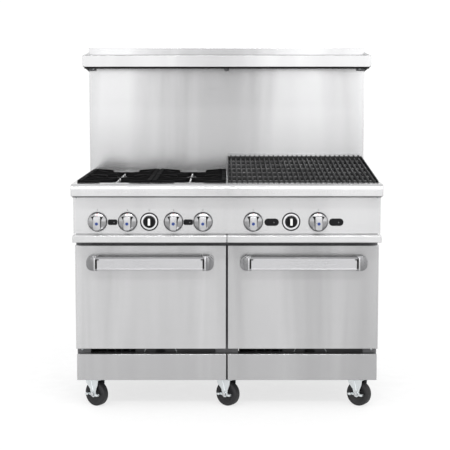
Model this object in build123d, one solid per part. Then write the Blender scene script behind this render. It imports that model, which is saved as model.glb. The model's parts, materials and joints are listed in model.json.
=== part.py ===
"""Commercial gas range: four open burners, a charbroiler, two ovens, a riser with a high shelf.

Millimetres, +Z up, +X to the user's right, +Y to the back.  The origin is on the floor, under the
centre of the range.  Inside this file a depth is counted back from the front face of the bullnose
rail, and save() moves every piece so that the origin is under the middle of the overall depth.
"""
from build123d import *
import math
import os

# ---------------------------------------------------------------- overall sizes
WIDTH = 1219.2                 # rail, riser and shelf, 48 in
DEPTH = 826.0                  # rail face to the end of the gas inlet
SIDE_INSET = 1.6               # body sides, inboard of the rail ends
SHEET = 1.5                    # stainless sheet
PLATE = 3.0                    # heavier plate
GAP = 0.3                      # between bodies that move past each other
RUNNING = 0.05                 # radial clearance of a pin in its bore

# ---------------------------------------------------------------- heights, from the floor up
KICK_DROP = 9.0                # kick plate below the underside of the base frame
KICK_HEIGHT = 107.0
VENT_GAP = 23.0
DOOR_HEIGHT = 420.0
DOOR_TOP_GAP = 22.0
TRAY_STRIP = 30.0
PANEL_HEIGHT = 153.0
RAIL_HEIGHT = 48.0
RISER_HEIGHT = 543.0
SHELF_DROP = 36.0              # top of the riser down to the top of the shelf

# ---------------------------------------------------------------- depths, from the rail face back
TRAY_FRONT = 10.0
PANEL_FACE = 63.0
DOOR_FACE = 100.0
KICK_FACE = 105.0
DOOR_THICKNESS = 42.0
DOOR_BACK_GAP = 6.0
RISER_DEPTH = 70.0
SHELF_DEPTH = 265.0
INLET_STUB = 20.0              # gas inlet behind the back panel

# ---------------------------------------------------------------- frame
BASE_CHANNEL_HEIGHT = 40.0
BASE_CHANNEL_WIDTH = 100.0
BASE_EDGE = 40.0               # width of the two side channels
FRAME_DEPTH = 30.0
UPRIGHT = 55.0                 # outer uprights of the front frame
MULLION = 92.0
SILL_HEIGHT = 16.0
HEADER_HEIGHT = 40.0
DECK_DROP = 3.0                # deck top under the crumb tray strip

# ---------------------------------------------------------------- ovens and doors
DOOR_SPLIT = 8.0
OVEN_BACK_GAP = 66.0           # insulation behind the oven liner
OVEN_FLOOR_RISE = 36.0         # oven floor plate above the bottom of the liner
LINER_SHEET = 1.2
RIB = 5.0
RACK_RISE = 130.0
RACK_ROD = 3.5                  # radii of the rack's rods
RACK_CROSS = 2.2
RACK_WIRE = 1.8
RACK_WIRES = 13
OVEN_BURNER_RADIUS = 15.0
HINGE_PIN_RADIUS = 5.0
HINGE_FROM_BACK = 18.0         # pin axis in front of the door's inner face
HINGE_FROM_BOTTOM = 12.0
HINGE_LUG = 8.0
HANDLE_INSET = 49.0
HANDLE_HEIGHT = 60.0
HANDLE_TOP = 36.0              # top of the handle below the top of the door
HANDLE_REACH = 55.0
HANDLE_BAR = 11.0
HANDLE_BRACKET = 46.0

# ---------------------------------------------------------------- controls
KNOB_AXIS = 48.0               # above the lower edge of the control panel
KNOB_SHARE = 0.0641             # knob radius to half the body's width
KNOB_REACH = 44.0
KNOB_GRIP_WIDTH = 26.0
KNOB_GRIP_HEIGHT = 63.0
DIAL_RADIUS = 23.5
DIAL_REACH = 26.0
BEZEL_SHARE = 0.06
BEZEL_THICKNESS = 4.0
STEM_RADIUS = 4.0
MANIFOLD_RADIUS = 13.35        # 3/4 in pipe
MANIFOLD_DROP = 21.0           # below the knob axis
INLET_RADIUS = 13.0
VALVE_RADIUS = 12.0
BURNER_KNOB_SHARES = (-0.842, -0.646, -0.347, -0.156)     # of half the body's width
BROILER_KNOB_SHARES = (0.171, 0.594)
THERMOSTAT_SHARES = (-0.505, 0.418)
BURNER_SLOT_SHARES = (-0.744, -0.2515)
BROILER_SLOT_SHARES = (0.291, 0.711)
BURNER_SLOT = (37.0, 22.0)     # width and height of a pilot sight slot
BROILER_SLOT = (57.0, 29.0)
PILOT_SLOT_RISE = 46.0

# ---------------------------------------------------------------- cooktop
COOKTOP_SHEET = 2.0
FLUE_MARGIN = 8.0
FLUE_SIDE = 30.0
SKIRT = 40.0
SIDE_TRIM = 14.0
RAIL_TOP_DEPTH = 75.0
CUTOUT_MARGIN = 7.0
CENTRE_STRIP = 5.5
LEDGE = 14.0
LEDGE_DROP = 26.0
LEDGE_THICKNESS = 8.0
GRATE_RISE = 7.0               # top of the open grates above the cooktop
GRATE_CORNER_RISE = 10.0
GRATE_BAR = 13.0
GRATE_GAP = 1.5
BURNER_HEAD_RADIUS = 48.0
BURNER_TUBE_RADIUS = 12.0
FIREBOX_DEPTH = 119.0          # below the cooktop
BROILER_SECTIONS = 4
BROILER_BARS = 7
BROILER_BAR_WIDTH = 9.0
BROILER_BAR_HEIGHT = 22.0       # top of a bar to the underside of the ties
BROILER_TIES = 6
BROILER_TIE_WIDTH = 10.0
BROILER_TIE_HEIGHT = 7.0
RADIANT_HALF = 52.0
RADIANT_DROP = 64.0             # lower edge of a radiant below the cooktop
RADIANT_RISE = 26.0
RADIANT_SHEET = 4.0
BROILER_FRONT_RISE = 3.0
BROILER_BACK_RISE = 63.0
UPSTAND_RISE = 78.0
UPSTAND_DEPTH = 12.0

# ---------------------------------------------------------------- shelf
SHELF_LIP = 48.0
SHELF_END_RISE = 18.0
SHELF_END_DROP = 20.0
SHELF_CORNER = 10.0

# ---------------------------------------------------------------- casters
WHEEL_RADIUS = 50.8
WHEEL_WIDTH = 32.0
WHEEL_HEADROOM = 6.4           # top of the wheel to the fork
HUB_STEP = 3.0                 # hub proud of the wheel on each side
HUB_PLAY = 1.0                 # hub to fork leg
HUB_RADIUS = 14.0
AXLE_RADIUS = 5.0
TRAIL = 18.0
FORK_SHEET = 3.0
FORK_TOP = 4.0
RACEWAY_HEIGHT = 7.7
RACEWAY_RADIUS = 30.0
CASTER_PLATE = 95.0
CASTER_PLATE_THICKNESS = 5.0
KINGPIN_RADIUS = 6.0
CASTER_SPREAD = 536.0          # between neighbouring casters of a row
CASTER_SHIFT = -10.0           # the middle caster, from the centre line
REAR_CASTER_INSET = 52.0       # from the back panel
FRONT_CASTER_DEPTH = 165.0
CASTER_TURN = -37.0            # rest angle of the forks about the vertical
BRAKE_HALF = 34.0
BRAKE_TAB = 15.0

# ---------------------------------------------------------------- worked out from the sizes above
HALF = WIDTH / 2
BODY = HALF - SIDE_INSET
KNOB_RADIUS = BODY * KNOB_SHARE
BEZEL_RADIUS = BODY * BEZEL_SHARE
FORK_UNDER = 2 * WHEEL_RADIUS + WHEEL_HEADROOM
CASTER_HEIGHT = FORK_UNDER + FORK_TOP + RACEWAY_HEIGHT + GAP + CASTER_PLATE_THICKNESS
HUB_WIDTH = WHEEL_WIDTH + 2 * HUB_STEP
FORK_GAP = HUB_WIDTH + 2 * HUB_PLAY
BURNER_KNOBS = [BODY * share for share in BURNER_KNOB_SHARES]
BROILER_KNOBS = [BODY * share for share in BROILER_KNOB_SHARES]
THERMOSTAT_KNOBS = [BODY * share for share in THERMOSTAT_SHARES]
PILOT_SLOTS = [(BODY * share, *BURNER_SLOT) for share in BURNER_SLOT_SHARES]
PILOT_SLOTS += [(BODY * share, *BROILER_SLOT) for share in BROILER_SLOT_SHARES]
BASE_Z = CASTER_HEIGHT
KICK_Z = BASE_Z - KICK_DROP
VENT_Z = KICK_Z + KICK_HEIGHT
DOOR_Z = VENT_Z + VENT_GAP
DOOR_TOP = DOOR_Z + DOOR_HEIGHT
TRAY_Z = DOOR_TOP + DOOR_TOP_GAP
PANEL_Z = TRAY_Z + TRAY_STRIP
RAIL_Z = PANEL_Z + PANEL_HEIGHT
COOK_Z = RAIL_Z + RAIL_HEIGHT
TOP_Z = COOK_Z + RISER_HEIGHT
SHELF_Z = TOP_Z - SHELF_DROP
FRAME_Y = DOOR_FACE + DOOR_THICKNESS + DOOR_BACK_GAP
BACK_Y = DEPTH - INLET_STUB
RISER_Y = BACK_Y - RISER_DEPTH
SHELF_Y = RISER_Y - SHELF_DEPTH
SKIRT_Z = COOK_Z - SKIRT
FRAME_Z = BASE_Z + BASE_CHANNEL_HEIGHT
DECK_Z = TRAY_Z - DECK_DROP
SILL_Z = DOOR_Z + 1.0
OVEN_Z = SILL_Z + SILL_HEIGHT
OVEN_TOP = DOOR_TOP - 24.0
OVEN_IN = MULLION / 2
OVEN_OUT = BODY - UPRIGHT
OVEN_Y = FRAME_Y + FRAME_DEPTH
OVEN_DEPTH = BACK_Y - OVEN_BACK_GAP - OVEN_Y
OVEN_FLOOR = OVEN_Z + OVEN_FLOOR_RISE
KNOB_Z = PANEL_Z + KNOB_AXIS
MANIFOLD_Z = KNOB_Z - MANIFOLD_DROP
MANIFOLD_Y = PANEL_FACE + 30.0
VALVE_Y = (PANEL_FACE + 12.0, PANEL_FACE + 45.0)
STEM_END = VALVE_Y[0] + 14.0
CUT_Y = (RAIL_TOP_DEPTH + CUTOUT_MARGIN, RISER_Y - CUTOUT_MARGIN)
GRATE_AREA = (-BODY + SIDE_TRIM, -2.0)
BROILER_AREA = (GRATE_AREA[1] + CENTRE_STRIP, BODY - 7.5)
HINGE_Y = DOOR_FACE + DOOR_THICKNESS - HINGE_FROM_BACK
HINGE_Z = DOOR_Z + HINGE_FROM_BOTTOM
SIDES = ((-1, "left"), (1, "right"))


# ---------------------------------------------------------------- small helpers
def block(x, y, z):
    """Box between two corners, each argument a (low, high) pair."""
    centre = (sum(x) / 2, sum(y) / 2, sum(z) / 2)
    return Pos(*centre) * Box(x[1] - x[0], y[1] - y[0], z[1] - z[0])


def rod_x(radius, x, y, z):
    """Round bar along X."""
    return Pos(sum(x) / 2, y, z) * Rot(0, 90, 0) * Cylinder(radius, x[1] - x[0])


def rod_y(radius, x, y, z):
    """Round bar along Y."""
    return Pos(x, sum(y) / 2, z) * Rot(90, 0, 0) * Cylinder(radius, y[1] - y[0])


def rod_z(radius, x, y, z):
    """Round bar along Z."""
    return Pos(x, y, sum(z) / 2) * Cylinder(radius, z[1] - z[0])


def prism_x(points, x):
    """Polygon of (y, z) points, extruded between two X values."""
    face = Plane.YZ.offset(x[0]) * Polygon(*points, align=None)
    return extrude(face, amount=x[1] - x[0], dir=(1, 0, 0))


def prism_y(points, y):
    """Polygon of (x, z) points, extruded between two Y values."""
    face = Plane.XZ.offset(-y[0]) * Polygon(*points, align=None)
    return extrude(face, amount=y[1] - y[0], dir=(0, 1, 0))


def span(side, inner, outer):
    """(low, high) pair on one side of the centre line."""
    return tuple(sorted((side * inner, side * outer)))


def at_side(side, x):
    """Mirror an (inner, outer) pair of distances to one side, as (low, high)."""
    return span(side, x[0], x[1])


def save(node, pieces):
    """Write one node, moved so that the origin is under the middle of the depth."""
    solids = [solid for piece in pieces for solid in piece.solids()]
    shape = Compound(solids).moved(Location((0, -DEPTH / 2, 0)))
    export_step(shape, os.path.join("parts", node + ".step"))
    print(node, len(solids))


# ---------------------------------------------------------------- body panels and frame
def side_panel(side):
    """L-shaped side sheet: full depth below, forward to the control panel above."""
    back = BACK_Y - SHEET
    outline = (
        (FRAME_Y, BASE_Z), (back, BASE_Z), (back, SKIRT_Z),
        (PANEL_FACE + PLATE, SKIRT_Z), (PANEL_FACE + PLATE, PANEL_Z), (FRAME_Y, PANEL_Z),
    )
    return prism_x(outline, span(side, BODY - SHEET, BODY))


def back_panel():
    """Rear sheet with a hole for the gas inlet."""
    sheet = block((-BODY, BODY), (BACK_Y - SHEET, BACK_Y), (BASE_Z, SKIRT_Z))
    return sheet - rod_y(MANIFOLD_RADIUS + 4, inlet_x(), (BACK_Y - 10, BACK_Y + 10), MANIFOLD_Z)


def channel(x, y):
    """Channel welded from a bottom plate and two webs along its longer side."""
    floor = block(x, y, (BASE_Z, BASE_Z + PLATE))
    z = (BASE_Z + PLATE, FRAME_Z)
    if x[1] - x[0] > y[1] - y[0]:
        webs = [block(x, (y[0], y[0] + PLATE), z), block(x, (y[1] - PLATE, y[1]), z)]
    else:
        webs = [block((x[0], x[0] + PLATE), y, z), block((x[1] - PLATE, x[1]), y, z)]
    return [floor] + webs


def base_frame():
    """Five channels, open at the top, that carry the casters."""
    half = BODY - SHEET - 0.5
    front = (KICK_FACE + 5.0, KICK_FACE + 5.0 + BASE_CHANNEL_WIDTH)
    rear = (BACK_Y - SHEET - BASE_CHANNEL_WIDTH, BACK_Y - SHEET)
    between = (front[1], rear[0])
    plates = channel((-half, half), front) + channel((-half, half), rear)
    plates += channel((-BASE_CHANNEL_WIDTH / 2, BASE_CHANNEL_WIDTH / 2), between)
    for side, _ in SIDES:
        plates += channel(span(side, half - BASE_EDGE, half), between)
    return plates


def front_frame():
    """Welded face frame of the two ovens, with the lugs and pins of the door hinges."""
    y = (FRAME_Y, FRAME_Y + FRAME_DEPTH)
    inner = BODY - SHEET
    members = [block((-inner, inner), y, (OVEN_TOP, DECK_Z - PLATE))]
    members += [block((-OVEN_IN, OVEN_IN), y, (FRAME_Z, OVEN_TOP))]
    for side, _ in SIDES:
        opening = span(side, OVEN_IN, OVEN_OUT)
        members += [block(span(side, OVEN_OUT, inner), y, (FRAME_Z, OVEN_TOP))]
        members += [block(opening, y, (SILL_Z, OVEN_Z)), block(opening, y, (FRAME_Z, VENT_Z - 1))]
        for x, pin in hinge_places(side):
            members += [hinge_lug(x), rod_x(HINGE_PIN_RADIUS, pin, HINGE_Y, HINGE_Z)]
    return members


def hinge_places(side):
    """(lug X pair, pin X pair) at both ends of a door; the pin points into the door."""
    inner, outer = door_span(side)
    low, high = (inner, outer) if side > 0 else (outer, inner)
    start = low + 6.0
    end = high - 6.0
    reach = HINGE_LUG + 12.0
    return (
        ((start, start + HINGE_LUG), (start + HINGE_LUG, start + reach)),
        ((end - HINGE_LUG, end), (end - reach, end - HINGE_LUG)),
    )


def hinge_lug(x):
    """Lug on the face frame, round at its front end."""
    lug = block(x, (HINGE_Y, FRAME_Y), (HINGE_Z - HINGE_LUG, HINGE_Z + HINGE_LUG))
    return lug + rod_x(HINGE_LUG, x, HINGE_Y, HINGE_Z)


def oven_deck():
    """Sheet over both ovens, which the crumb trays slide on."""
    inner = BODY - SHEET
    return block((-inner, inner), (FRAME_Y, BACK_Y - SHEET), (DECK_Z - PLATE, DECK_Z))


def vent_baffle(side):
    """Sheet across two thirds of the air slot, with a half-round notch in its lower edge."""
    low, high = span(side, OVEN_IN, OVEN_OUT)
    start = low + (high - low) * 0.357
    y = (FRAME_Y - SHEET - 0.2, FRAME_Y - 0.2)
    sheet = block((start, high - 1), y, (VENT_Z + 0.5, SILL_Z))
    notch = start + (high - start) * 0.32
    return sheet - rod_y(17.0, notch, (y[0] - 1, y[1] + 1), VENT_Z + 1)


def kick_plate(side):
    """Folded sheet in front of the base frame."""
    x = span(side, 0.8, BODY - 2.5)
    z = (KICK_Z, VENT_Z)
    outer = block(x, (KICK_FACE, FRAME_Y), z)
    pocket = block((x[0] - 1, x[1] + 1), (KICK_FACE + SHEET, FRAME_Y + 1), (KICK_Z - 1, VENT_Z - SHEET))
    return outer - pocket


# ---------------------------------------------------------------- ovens
def oven_liner(side):
    """Enamelled box welded from five sheets, with ribs for the floor plate and the rack."""
    wall = LINER_SHEET
    x = (OVEN_IN, OVEN_OUT)
    y = (OVEN_Y, OVEN_Y + OVEN_DEPTH)
    z = (OVEN_Z, OVEN_TOP)
    across = at_side(side, (x[0] - wall, x[1] + wall))
    sheets = [block(across, y, (z[0] - wall, z[0])), block(across, y, (z[1], z[1] + wall))]
    sheets += [block(at_side(side, (x[0] - wall, x[0])), y, z), block(at_side(side, (x[1], x[1] + wall)), y, z)]
    sheets += [block(across, (y[1], y[1] + wall), (z[0] - wall, z[1] + wall))]
    for level in range(3):
        top = OVEN_FLOOR + level * RACK_RISE
        for near in (x[0], x[1] - RIB):
            sheets += [block(at_side(side, (near, near + RIB)), (y[0] + 4, y[1]), (top - RIB, top))]
    return sheets


def oven_floor_plate(side):
    """Removable oven bottom with heat slots along both sides."""
    x = (OVEN_IN + 2, OVEN_OUT - 2)
    y = (OVEN_Y + 6, OVEN_Y + OVEN_DEPTH - 4)
    plate = block(at_side(side, x), y, (OVEN_FLOOR, OVEN_FLOOR + PLATE))
    count = 6
    pitch = (y[1] - y[0]) / count
    for near in (x[0] + 22, x[1] - 22 - 14):
        for step in range(count):
            slot = (y[0] + pitch * (step + 0.2), y[0] + pitch * (step + 0.8))
            plate -= block(at_side(side, (near, near + 14)), slot, (OVEN_FLOOR - 1, OVEN_FLOOR + PLATE + 1))
    return plate


def oven_rack(side):
    """Rods of one wire rack: two side rods, three cross rods, and wires welded on top."""
    z = OVEN_FLOOR + RACK_RISE + RACK_ROD + 0.1
    x = at_side(side, (OVEN_IN + RACK_ROD + 1, OVEN_OUT - RACK_ROD - 1))
    y = (OVEN_Y + 20, OVEN_Y + OVEN_DEPTH - 20)
    ends = (y[0] - 12, y[1] + 12)
    rods = [rod_y(RACK_ROD, along, ends, z) for along in x]
    cross = (x[0] + RACK_ROD, x[1] - RACK_ROD)
    rods += [rod_x(RACK_CROSS, cross, across, z) for across in (y[0], sum(y) / 2, y[1])]
    pitch = (x[1] - x[0]) / (RACK_WIRES + 1)
    top = z + RACK_CROSS + RACK_WIRE
    return rods + [rod_y(RACK_WIRE, x[0] + pitch * (step + 1), ends, top) for step in range(RACK_WIRES)]


def oven_burner(side):
    """Straight burner tube under the oven floor plate."""
    x = side * (OVEN_IN + OVEN_OUT) / 2
    z = OVEN_Z + OVEN_BURNER_RADIUS + 2
    tube = rod_y(OVEN_BURNER_RADIUS, x, (OVEN_Y + 15, OVEN_Y + OVEN_DEPTH - 60), z)
    return tube - rod_y(OVEN_BURNER_RADIUS - 2, x, (OVEN_Y + 14, OVEN_Y + OVEN_DEPTH - 62), z)


# ---------------------------------------------------------------- oven doors
def door_span(side):
    """Inner and outer X of a door, signed."""
    return side * DOOR_SPLIT / 2, side * (BODY - 0.5)


def hinge_notch(side):
    """Space in the door's lower corners for the lugs."""
    low, high = sorted(door_span(side))
    y = (HINGE_Y - 12, DOOR_FACE + DOOR_THICKNESS + 1)
    z = (DOOR_Z - 1, HINGE_Z + 12)
    return [block((low + 4, low + 16), y, z), block((high - 16, high - 4), y, z)]


def door_skin(side):
    """Outer pan of the door, with edges folded back."""
    x = sorted(door_span(side))
    depth = DOOR_THICKNESS * 0.6
    z = (DOOR_Z, DOOR_TOP)
    pan = block(x, (DOOR_FACE, DOOR_FACE + depth), z)
    pan -= block((x[0] + SHEET, x[1] - SHEET), (DOOR_FACE + SHEET, DOOR_FACE + depth + 1),
                 (z[0] + SHEET, z[1] - SHEET))
    return pan - hinge_notch(side)


def door_liner(side):
    """Inner pan of the door, nested in the skin, with the two hinge blocks."""
    x0, x1 = sorted(door_span(side))
    x = (x0 + SHEET, x1 - SHEET)
    y = (DOOR_FACE + SHEET, DOOR_FACE + DOOR_THICKNESS)
    z = (DOOR_Z + SHEET, DOOR_TOP - SHEET)
    pan = block(x, y, z)
    pan -= block((x[0] + SHEET, x[1] - SHEET), (y[0] - 1, y[1] - SHEET), (z[0] + SHEET, z[1] - SHEET))
    pan -= hinge_notch(side)
    top = HINGE_Z + 14
    for low, high in ((x0 + 16, x0 + 32), (x1 - 32, x1 - 16)):
        pan += block((low, high), (HINGE_Y - 11, y[1]), (z[0], top))
        pan -= rod_x(HINGE_PIN_RADIUS + RUNNING, (low - 1, high + 1), HINGE_Y, HINGE_Z)
    return pan


def door_handle(side):
    """Flat bar on two cast brackets, bolted to the door skin."""
    low, high = sorted(door_span(side))
    x = (low + HANDLE_INSET, high - HANDLE_INSET)
    z = (DOOR_TOP - HANDLE_TOP - HANDLE_HEIGHT, DOOR_TOP - HANDLE_TOP)
    front = DOOR_FACE - HANDLE_REACH
    profile = (
        (front, z[0] + 5), (front, z[1] - 9), (front + 6, z[1]), (front + HANDLE_BAR, z[1]),
        (front + HANDLE_BAR, z[0]), (front + 3, z[0]),
    )
    bar = prism_x(profile, (x[0] + HANDLE_BRACKET * 0.5, x[1] - HANDLE_BRACKET * 0.5))
    for start in (x[0], x[1] - HANDLE_BRACKET):
        bracket = block((start, start + HANDLE_BRACKET), (front, DOOR_FACE), z)
        edges = bracket.edges().filter_by(Axis.Y)
        bar += fillet(edges, min(16.0, HANDLE_HEIGHT / 3))
    return bar


# ---------------------------------------------------------------- controls
def control_panel():
    """Front control sheet with the stem holes and the pilot sight slots."""
    x = (-BODY + 0.5, BODY - 0.5)
    panel = block(x, (PANEL_FACE, PANEL_FACE + PLATE), (PANEL_Z, RAIL_Z))
    inner = (-BODY + SHEET, BODY - SHEET)
    panel += block(inner, (PANEL_FACE, PANEL_FACE + 24), (PANEL_Z, PANEL_Z + SHEET))
    through = (PANEL_FACE - 1, PANEL_FACE + PLATE + 1)
    for place in BURNER_KNOBS + BROILER_KNOBS + THERMOSTAT_KNOBS:
        panel -= rod_y(STEM_RADIUS + 3, place, through, KNOB_Z)
    for place, width, height in PILOT_SLOTS:
        middle = PANEL_Z + PILOT_SLOT_RISE
        radius = height / 2
        half = width / 2 - radius
        panel -= block((place - half, place + half), through, (middle - radius, middle + radius))
        panel -= [rod_y(radius, place + end * half, through, middle) for end in (-1, 1)]
    return panel


def inlet_x():
    """X of the gas pipe that runs to the back."""
    return BODY - SHEET - MANIFOLD_RADIUS - 1.5


def gas_manifold():
    """Pipe behind the control panel, with a run to the inlet at the back."""
    x = inlet_x()
    pipe = rod_x(MANIFOLD_RADIUS, (-BODY + 60, x), MANIFOLD_Y, MANIFOLD_Z)
    pipe += rod_y(MANIFOLD_RADIUS, x, (MANIFOLD_Y, BACK_Y), MANIFOLD_Z)
    pipe += rod_y(INLET_RADIUS, x, (BACK_Y, DEPTH), MANIFOLD_Z)
    pipe += Pos(x, MANIFOLD_Y, MANIFOLD_Z) * Sphere(MANIFOLD_RADIUS)
    return pipe - rod_y(INLET_RADIUS - 3, x, (DEPTH - 40, DEPTH + 1), MANIFOLD_Z)


def gas_valve(place):
    """Plug valve on the manifold, with the bore for the knob's stem."""
    body = rod_y(VALVE_RADIUS, place, VALVE_Y, KNOB_Z)
    body += block((place - 9, place + 9), (MANIFOLD_Y - 9, MANIFOLD_Y + 9), (MANIFOLD_Z, KNOB_Z))
    body += rod_y(6.0, place, (VALVE_Y[1], VALVE_Y[1] + 20), KNOB_Z)
    return finish_valve(body, place)


def thermostat(place):
    """Oven thermostat body on the manifold."""
    body = block((place - 25, place + 25), VALVE_Y, (KNOB_Z - 7, KNOB_Z + 28))
    body += block((place - 9, place + 9), (MANIFOLD_Y - 9, MANIFOLD_Y + 9), (MANIFOLD_Z, KNOB_Z))
    return finish_valve(body, place)


def finish_valve(body, place):
    """Seat a valve on the pipe and bore it for its stem."""
    body -= rod_x(MANIFOLD_RADIUS, (place - 40, place + 40), MANIFOLD_Y, MANIFOLD_Z)
    return body - rod_y(STEM_RADIUS + RUNNING, place, (VALVE_Y[0] - 1, STEM_END + 1), KNOB_Z)


def thermostat_bezel(place):
    """Round trim plate with a raised rim, fixed to the panel around the dial."""
    y = (PANEL_FACE - BEZEL_THICKNESS, PANEL_FACE)
    plate = rod_y(BEZEL_RADIUS, place, y, KNOB_Z)
    plate -= rod_y(BEZEL_RADIUS - 2.5, place, (y[0] - 1, y[0] + 1.5), KNOB_Z)
    return plate - rod_y(STEM_RADIUS + 3, place, (y[0] - 1, y[1] + 1), KNOB_Z)


def stem(place, front):
    """Valve stem from inside the knob to inside the valve."""
    return rod_y(STEM_RADIUS, place, (front, STEM_END), KNOB_Z)


def burner_knob(place):
    """Domed round knob with an upright grip bar, and its stem."""
    back = PANEL_FACE - 2.0
    front = PANEL_FACE - KNOB_REACH
    skirt = rod_y(KNOB_RADIUS, place, (back - 7, back), KNOB_Z)
    dome = Pos(place, back - 7 - 7, KNOB_Z) * Rot(90, 0, 0) * Cone(KNOB_RADIUS, KNOB_RADIUS * 0.72, 14)
    half = KNOB_GRIP_WIDTH / 2
    tall = KNOB_GRIP_HEIGHT / 2
    grip = block((place - half, place + half), (front, back - 4), (KNOB_Z - tall, KNOB_Z + tall))
    grip = fillet(grip.edges().filter_by(Axis.Y), half * 0.4)
    knob = skirt + dome + grip
    hub = front + 12
    return [knob - rod_y(STEM_RADIUS, place, (hub, back + 1), KNOB_Z), stem(place, hub)]


def thermostat_knob(place):
    """Dial with a bar grip, and its stem."""
    back = PANEL_FACE - BEZEL_THICKNESS - 0.5
    front = PANEL_FACE - DIAL_REACH
    dial = rod_y(DIAL_RADIUS, place, (back - 10, back), KNOB_Z)
    dial += block((place - 6.5, place + 6.5), (front, back - 8), (KNOB_Z - 18, KNOB_Z + 18))
    hub = front + 6
    return [dial - rod_y(STEM_RADIUS, place, (hub, back + 1), KNOB_Z), stem(place, hub)]


def front_rail():
    """Bullnose rail: a folded sheet with a round front edge and closed ends."""
    x = (-HALF, HALF)
    radius = RAIL_HEIGHT * 0.42
    outer = block(x, (0, RAIL_TOP_DEPTH), (RAIL_Z, COOK_Z))
    outer = fillet(outer.edges().filter_by(Axis.X).group_by(Axis.Y)[0].sort_by(Axis.Z)[-1], radius)
    cut = block((x[0] + SHEET, x[1] - SHEET), (SHEET, RAIL_TOP_DEPTH + 1), (RAIL_Z + SHEET, COOK_Z - SHEET))
    front = cut.edges().filter_by(Axis.X).group_by(Axis.Y)[0].sort_by(Axis.Z)[-1]
    cut = fillet(front, radius - SHEET)
    heel = block((x[0] - 1, x[1] + 1), (PANEL_FACE + 2, RAIL_TOP_DEPTH + 1), (RAIL_Z - 1, COOK_Z - SKIRT + 1))
    return outer - cut - heel


# ---------------------------------------------------------------- cooktop
def cooktop_sheet():
    """Strips of the top sheet around its two cut-outs and the flue."""
    z = (COOK_Z - COOKTOP_SHEET, COOK_Z)
    flue = (RISER_Y + FLUE_MARGIN, BACK_Y - FLUE_MARGIN)
    full = (-BODY, BODY)
    strips = [block(full, (RAIL_TOP_DEPTH, CUT_Y[0]), z), block(full, (CUT_Y[1], flue[0]), z)]
    strips += [block(full, (flue[1], BACK_Y), z)]
    for x in ((-BODY, GRATE_AREA[0]), (GRATE_AREA[1], BROILER_AREA[0]), (BROILER_AREA[1], BODY)):
        strips += [block(x, CUT_Y, z)]
    strips += [block(span(side, BODY - FLUE_SIDE, BODY), flue, z) for side, _ in SIDES]
    return strips


def grate_ledges():
    """Webs around the open burners and the ledges that the grates rest on."""
    x = GRATE_AREA
    y = CUT_Y
    ledge = (COOK_Z - LEDGE_DROP - LEDGE_THICKNESS, COOK_Z - LEDGE_DROP)
    web = (ledge[0], COOK_Z - COOKTOP_SHEET)
    parts = [block(x, (y[0] - SHEET, y[0]), web), block(x, (y[1], y[1] + SHEET), web)]
    parts += [block((near, near + SHEET), (y[0] - SHEET, y[1] + SHEET), web) for near in (x[0] - SHEET, x[1])]
    middle = (sum(y) / 2 - LEDGE / 2, sum(y) / 2 + LEDGE / 2)
    parts += [block(x, pair, ledge) for pair in ((y[0], y[0] + LEDGE), middle, (y[1] - LEDGE, y[1]))]
    centre = (sum(x) / 2 - LEDGE / 2, sum(x) / 2 + LEDGE / 2)
    return parts + [block(centre, pair, ledge) for pair in ((y[0] + LEDGE, middle[0]), (middle[1], y[1] - LEDGE))]


def cooktop_frame():
    """Top sheet, skirts, grate ledges and the upstand behind the broiler, welded together."""
    skirt = (SKIRT_Z, COOK_Z - COOKTOP_SHEET)
    parts = cooktop_sheet() + grate_ledges()
    for side, _ in SIDES:
        parts += [block(span(side, BODY - SHEET, BODY), (RAIL_TOP_DEPTH + 2, BACK_Y - SHEET), skirt)]
    parts += [block((-BODY, BODY), (BACK_Y - SHEET, BACK_Y), skirt)]
    upstand = (RISER_Y - UPSTAND_DEPTH, RISER_Y)
    return parts + [block(BROILER_AREA, upstand, (COOK_Z, COOK_Z + UPSTAND_RISE))]


def grate_span():
    """Outer size of one open-burner grate."""
    width = (GRATE_AREA[1] - GRATE_AREA[0]) / 2 - 2 * GRATE_GAP
    depth = (CUT_Y[1] - CUT_Y[0]) / 2 - 2 * GRATE_GAP
    return width, depth


def grate_centre(column, row):
    """Centre of a grate: column 0 is at the left, row 0 at the front."""
    width = (GRATE_AREA[1] - GRATE_AREA[0]) / 2
    depth = (CUT_Y[1] - CUT_Y[0]) / 2
    return GRATE_AREA[0] + width * (column + 0.5), CUT_Y[0] + depth * (row + 0.5)


def top_grate(column, row):
    """Cast grate: a border, fingers that stop short of the middle and raised corners."""
    cx, cy = grate_centre(column, row)
    width, depth = grate_span()
    x = (cx - width / 2, cx + width / 2)
    y = (cy - depth / 2, cy + depth / 2)
    foot = COOK_Z - LEDGE_DROP + 0.2
    top = COOK_Z + GRATE_RISE - 4
    grate = block(x, y, (foot, top))
    grate -= block((x[0] + GRATE_BAR, x[1] - GRATE_BAR), (y[0] + GRATE_BAR, y[1] - GRATE_BAR), (foot - 1, top + 1))
    high = (COOK_Z - 12, COOK_Z + GRATE_RISE)
    open_x = width * 0.09
    for step in (-1, 0, 1):
        fy = cy + step * depth * 0.25
        for side, _ in SIDES:
            reach = sorted((cx + side * open_x, cx + side * (width / 2 - GRATE_BAR * 0.5)))
            grate += block(reach, (fy - 5, fy + 5), high)
    for side, _ in SIDES:
        for end in (-1, 1):
            fx = cx + side * width * 0.24
            finger = sorted((cy + end * depth * 0.30, cy + end * (depth / 2 - GRATE_BAR * 0.5)))
            grate += block((fx - 5, fx + 5), finger, high)
            bx = sorted((cx + side * (width / 2 - 46), cx + side * width / 2))
            by = sorted((cy + end * (depth / 2 - GRATE_BAR), cy + end * depth / 2))
            grate += block(bx, by, (foot, COOK_Z + GRATE_CORNER_RISE))
    return grate


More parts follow.
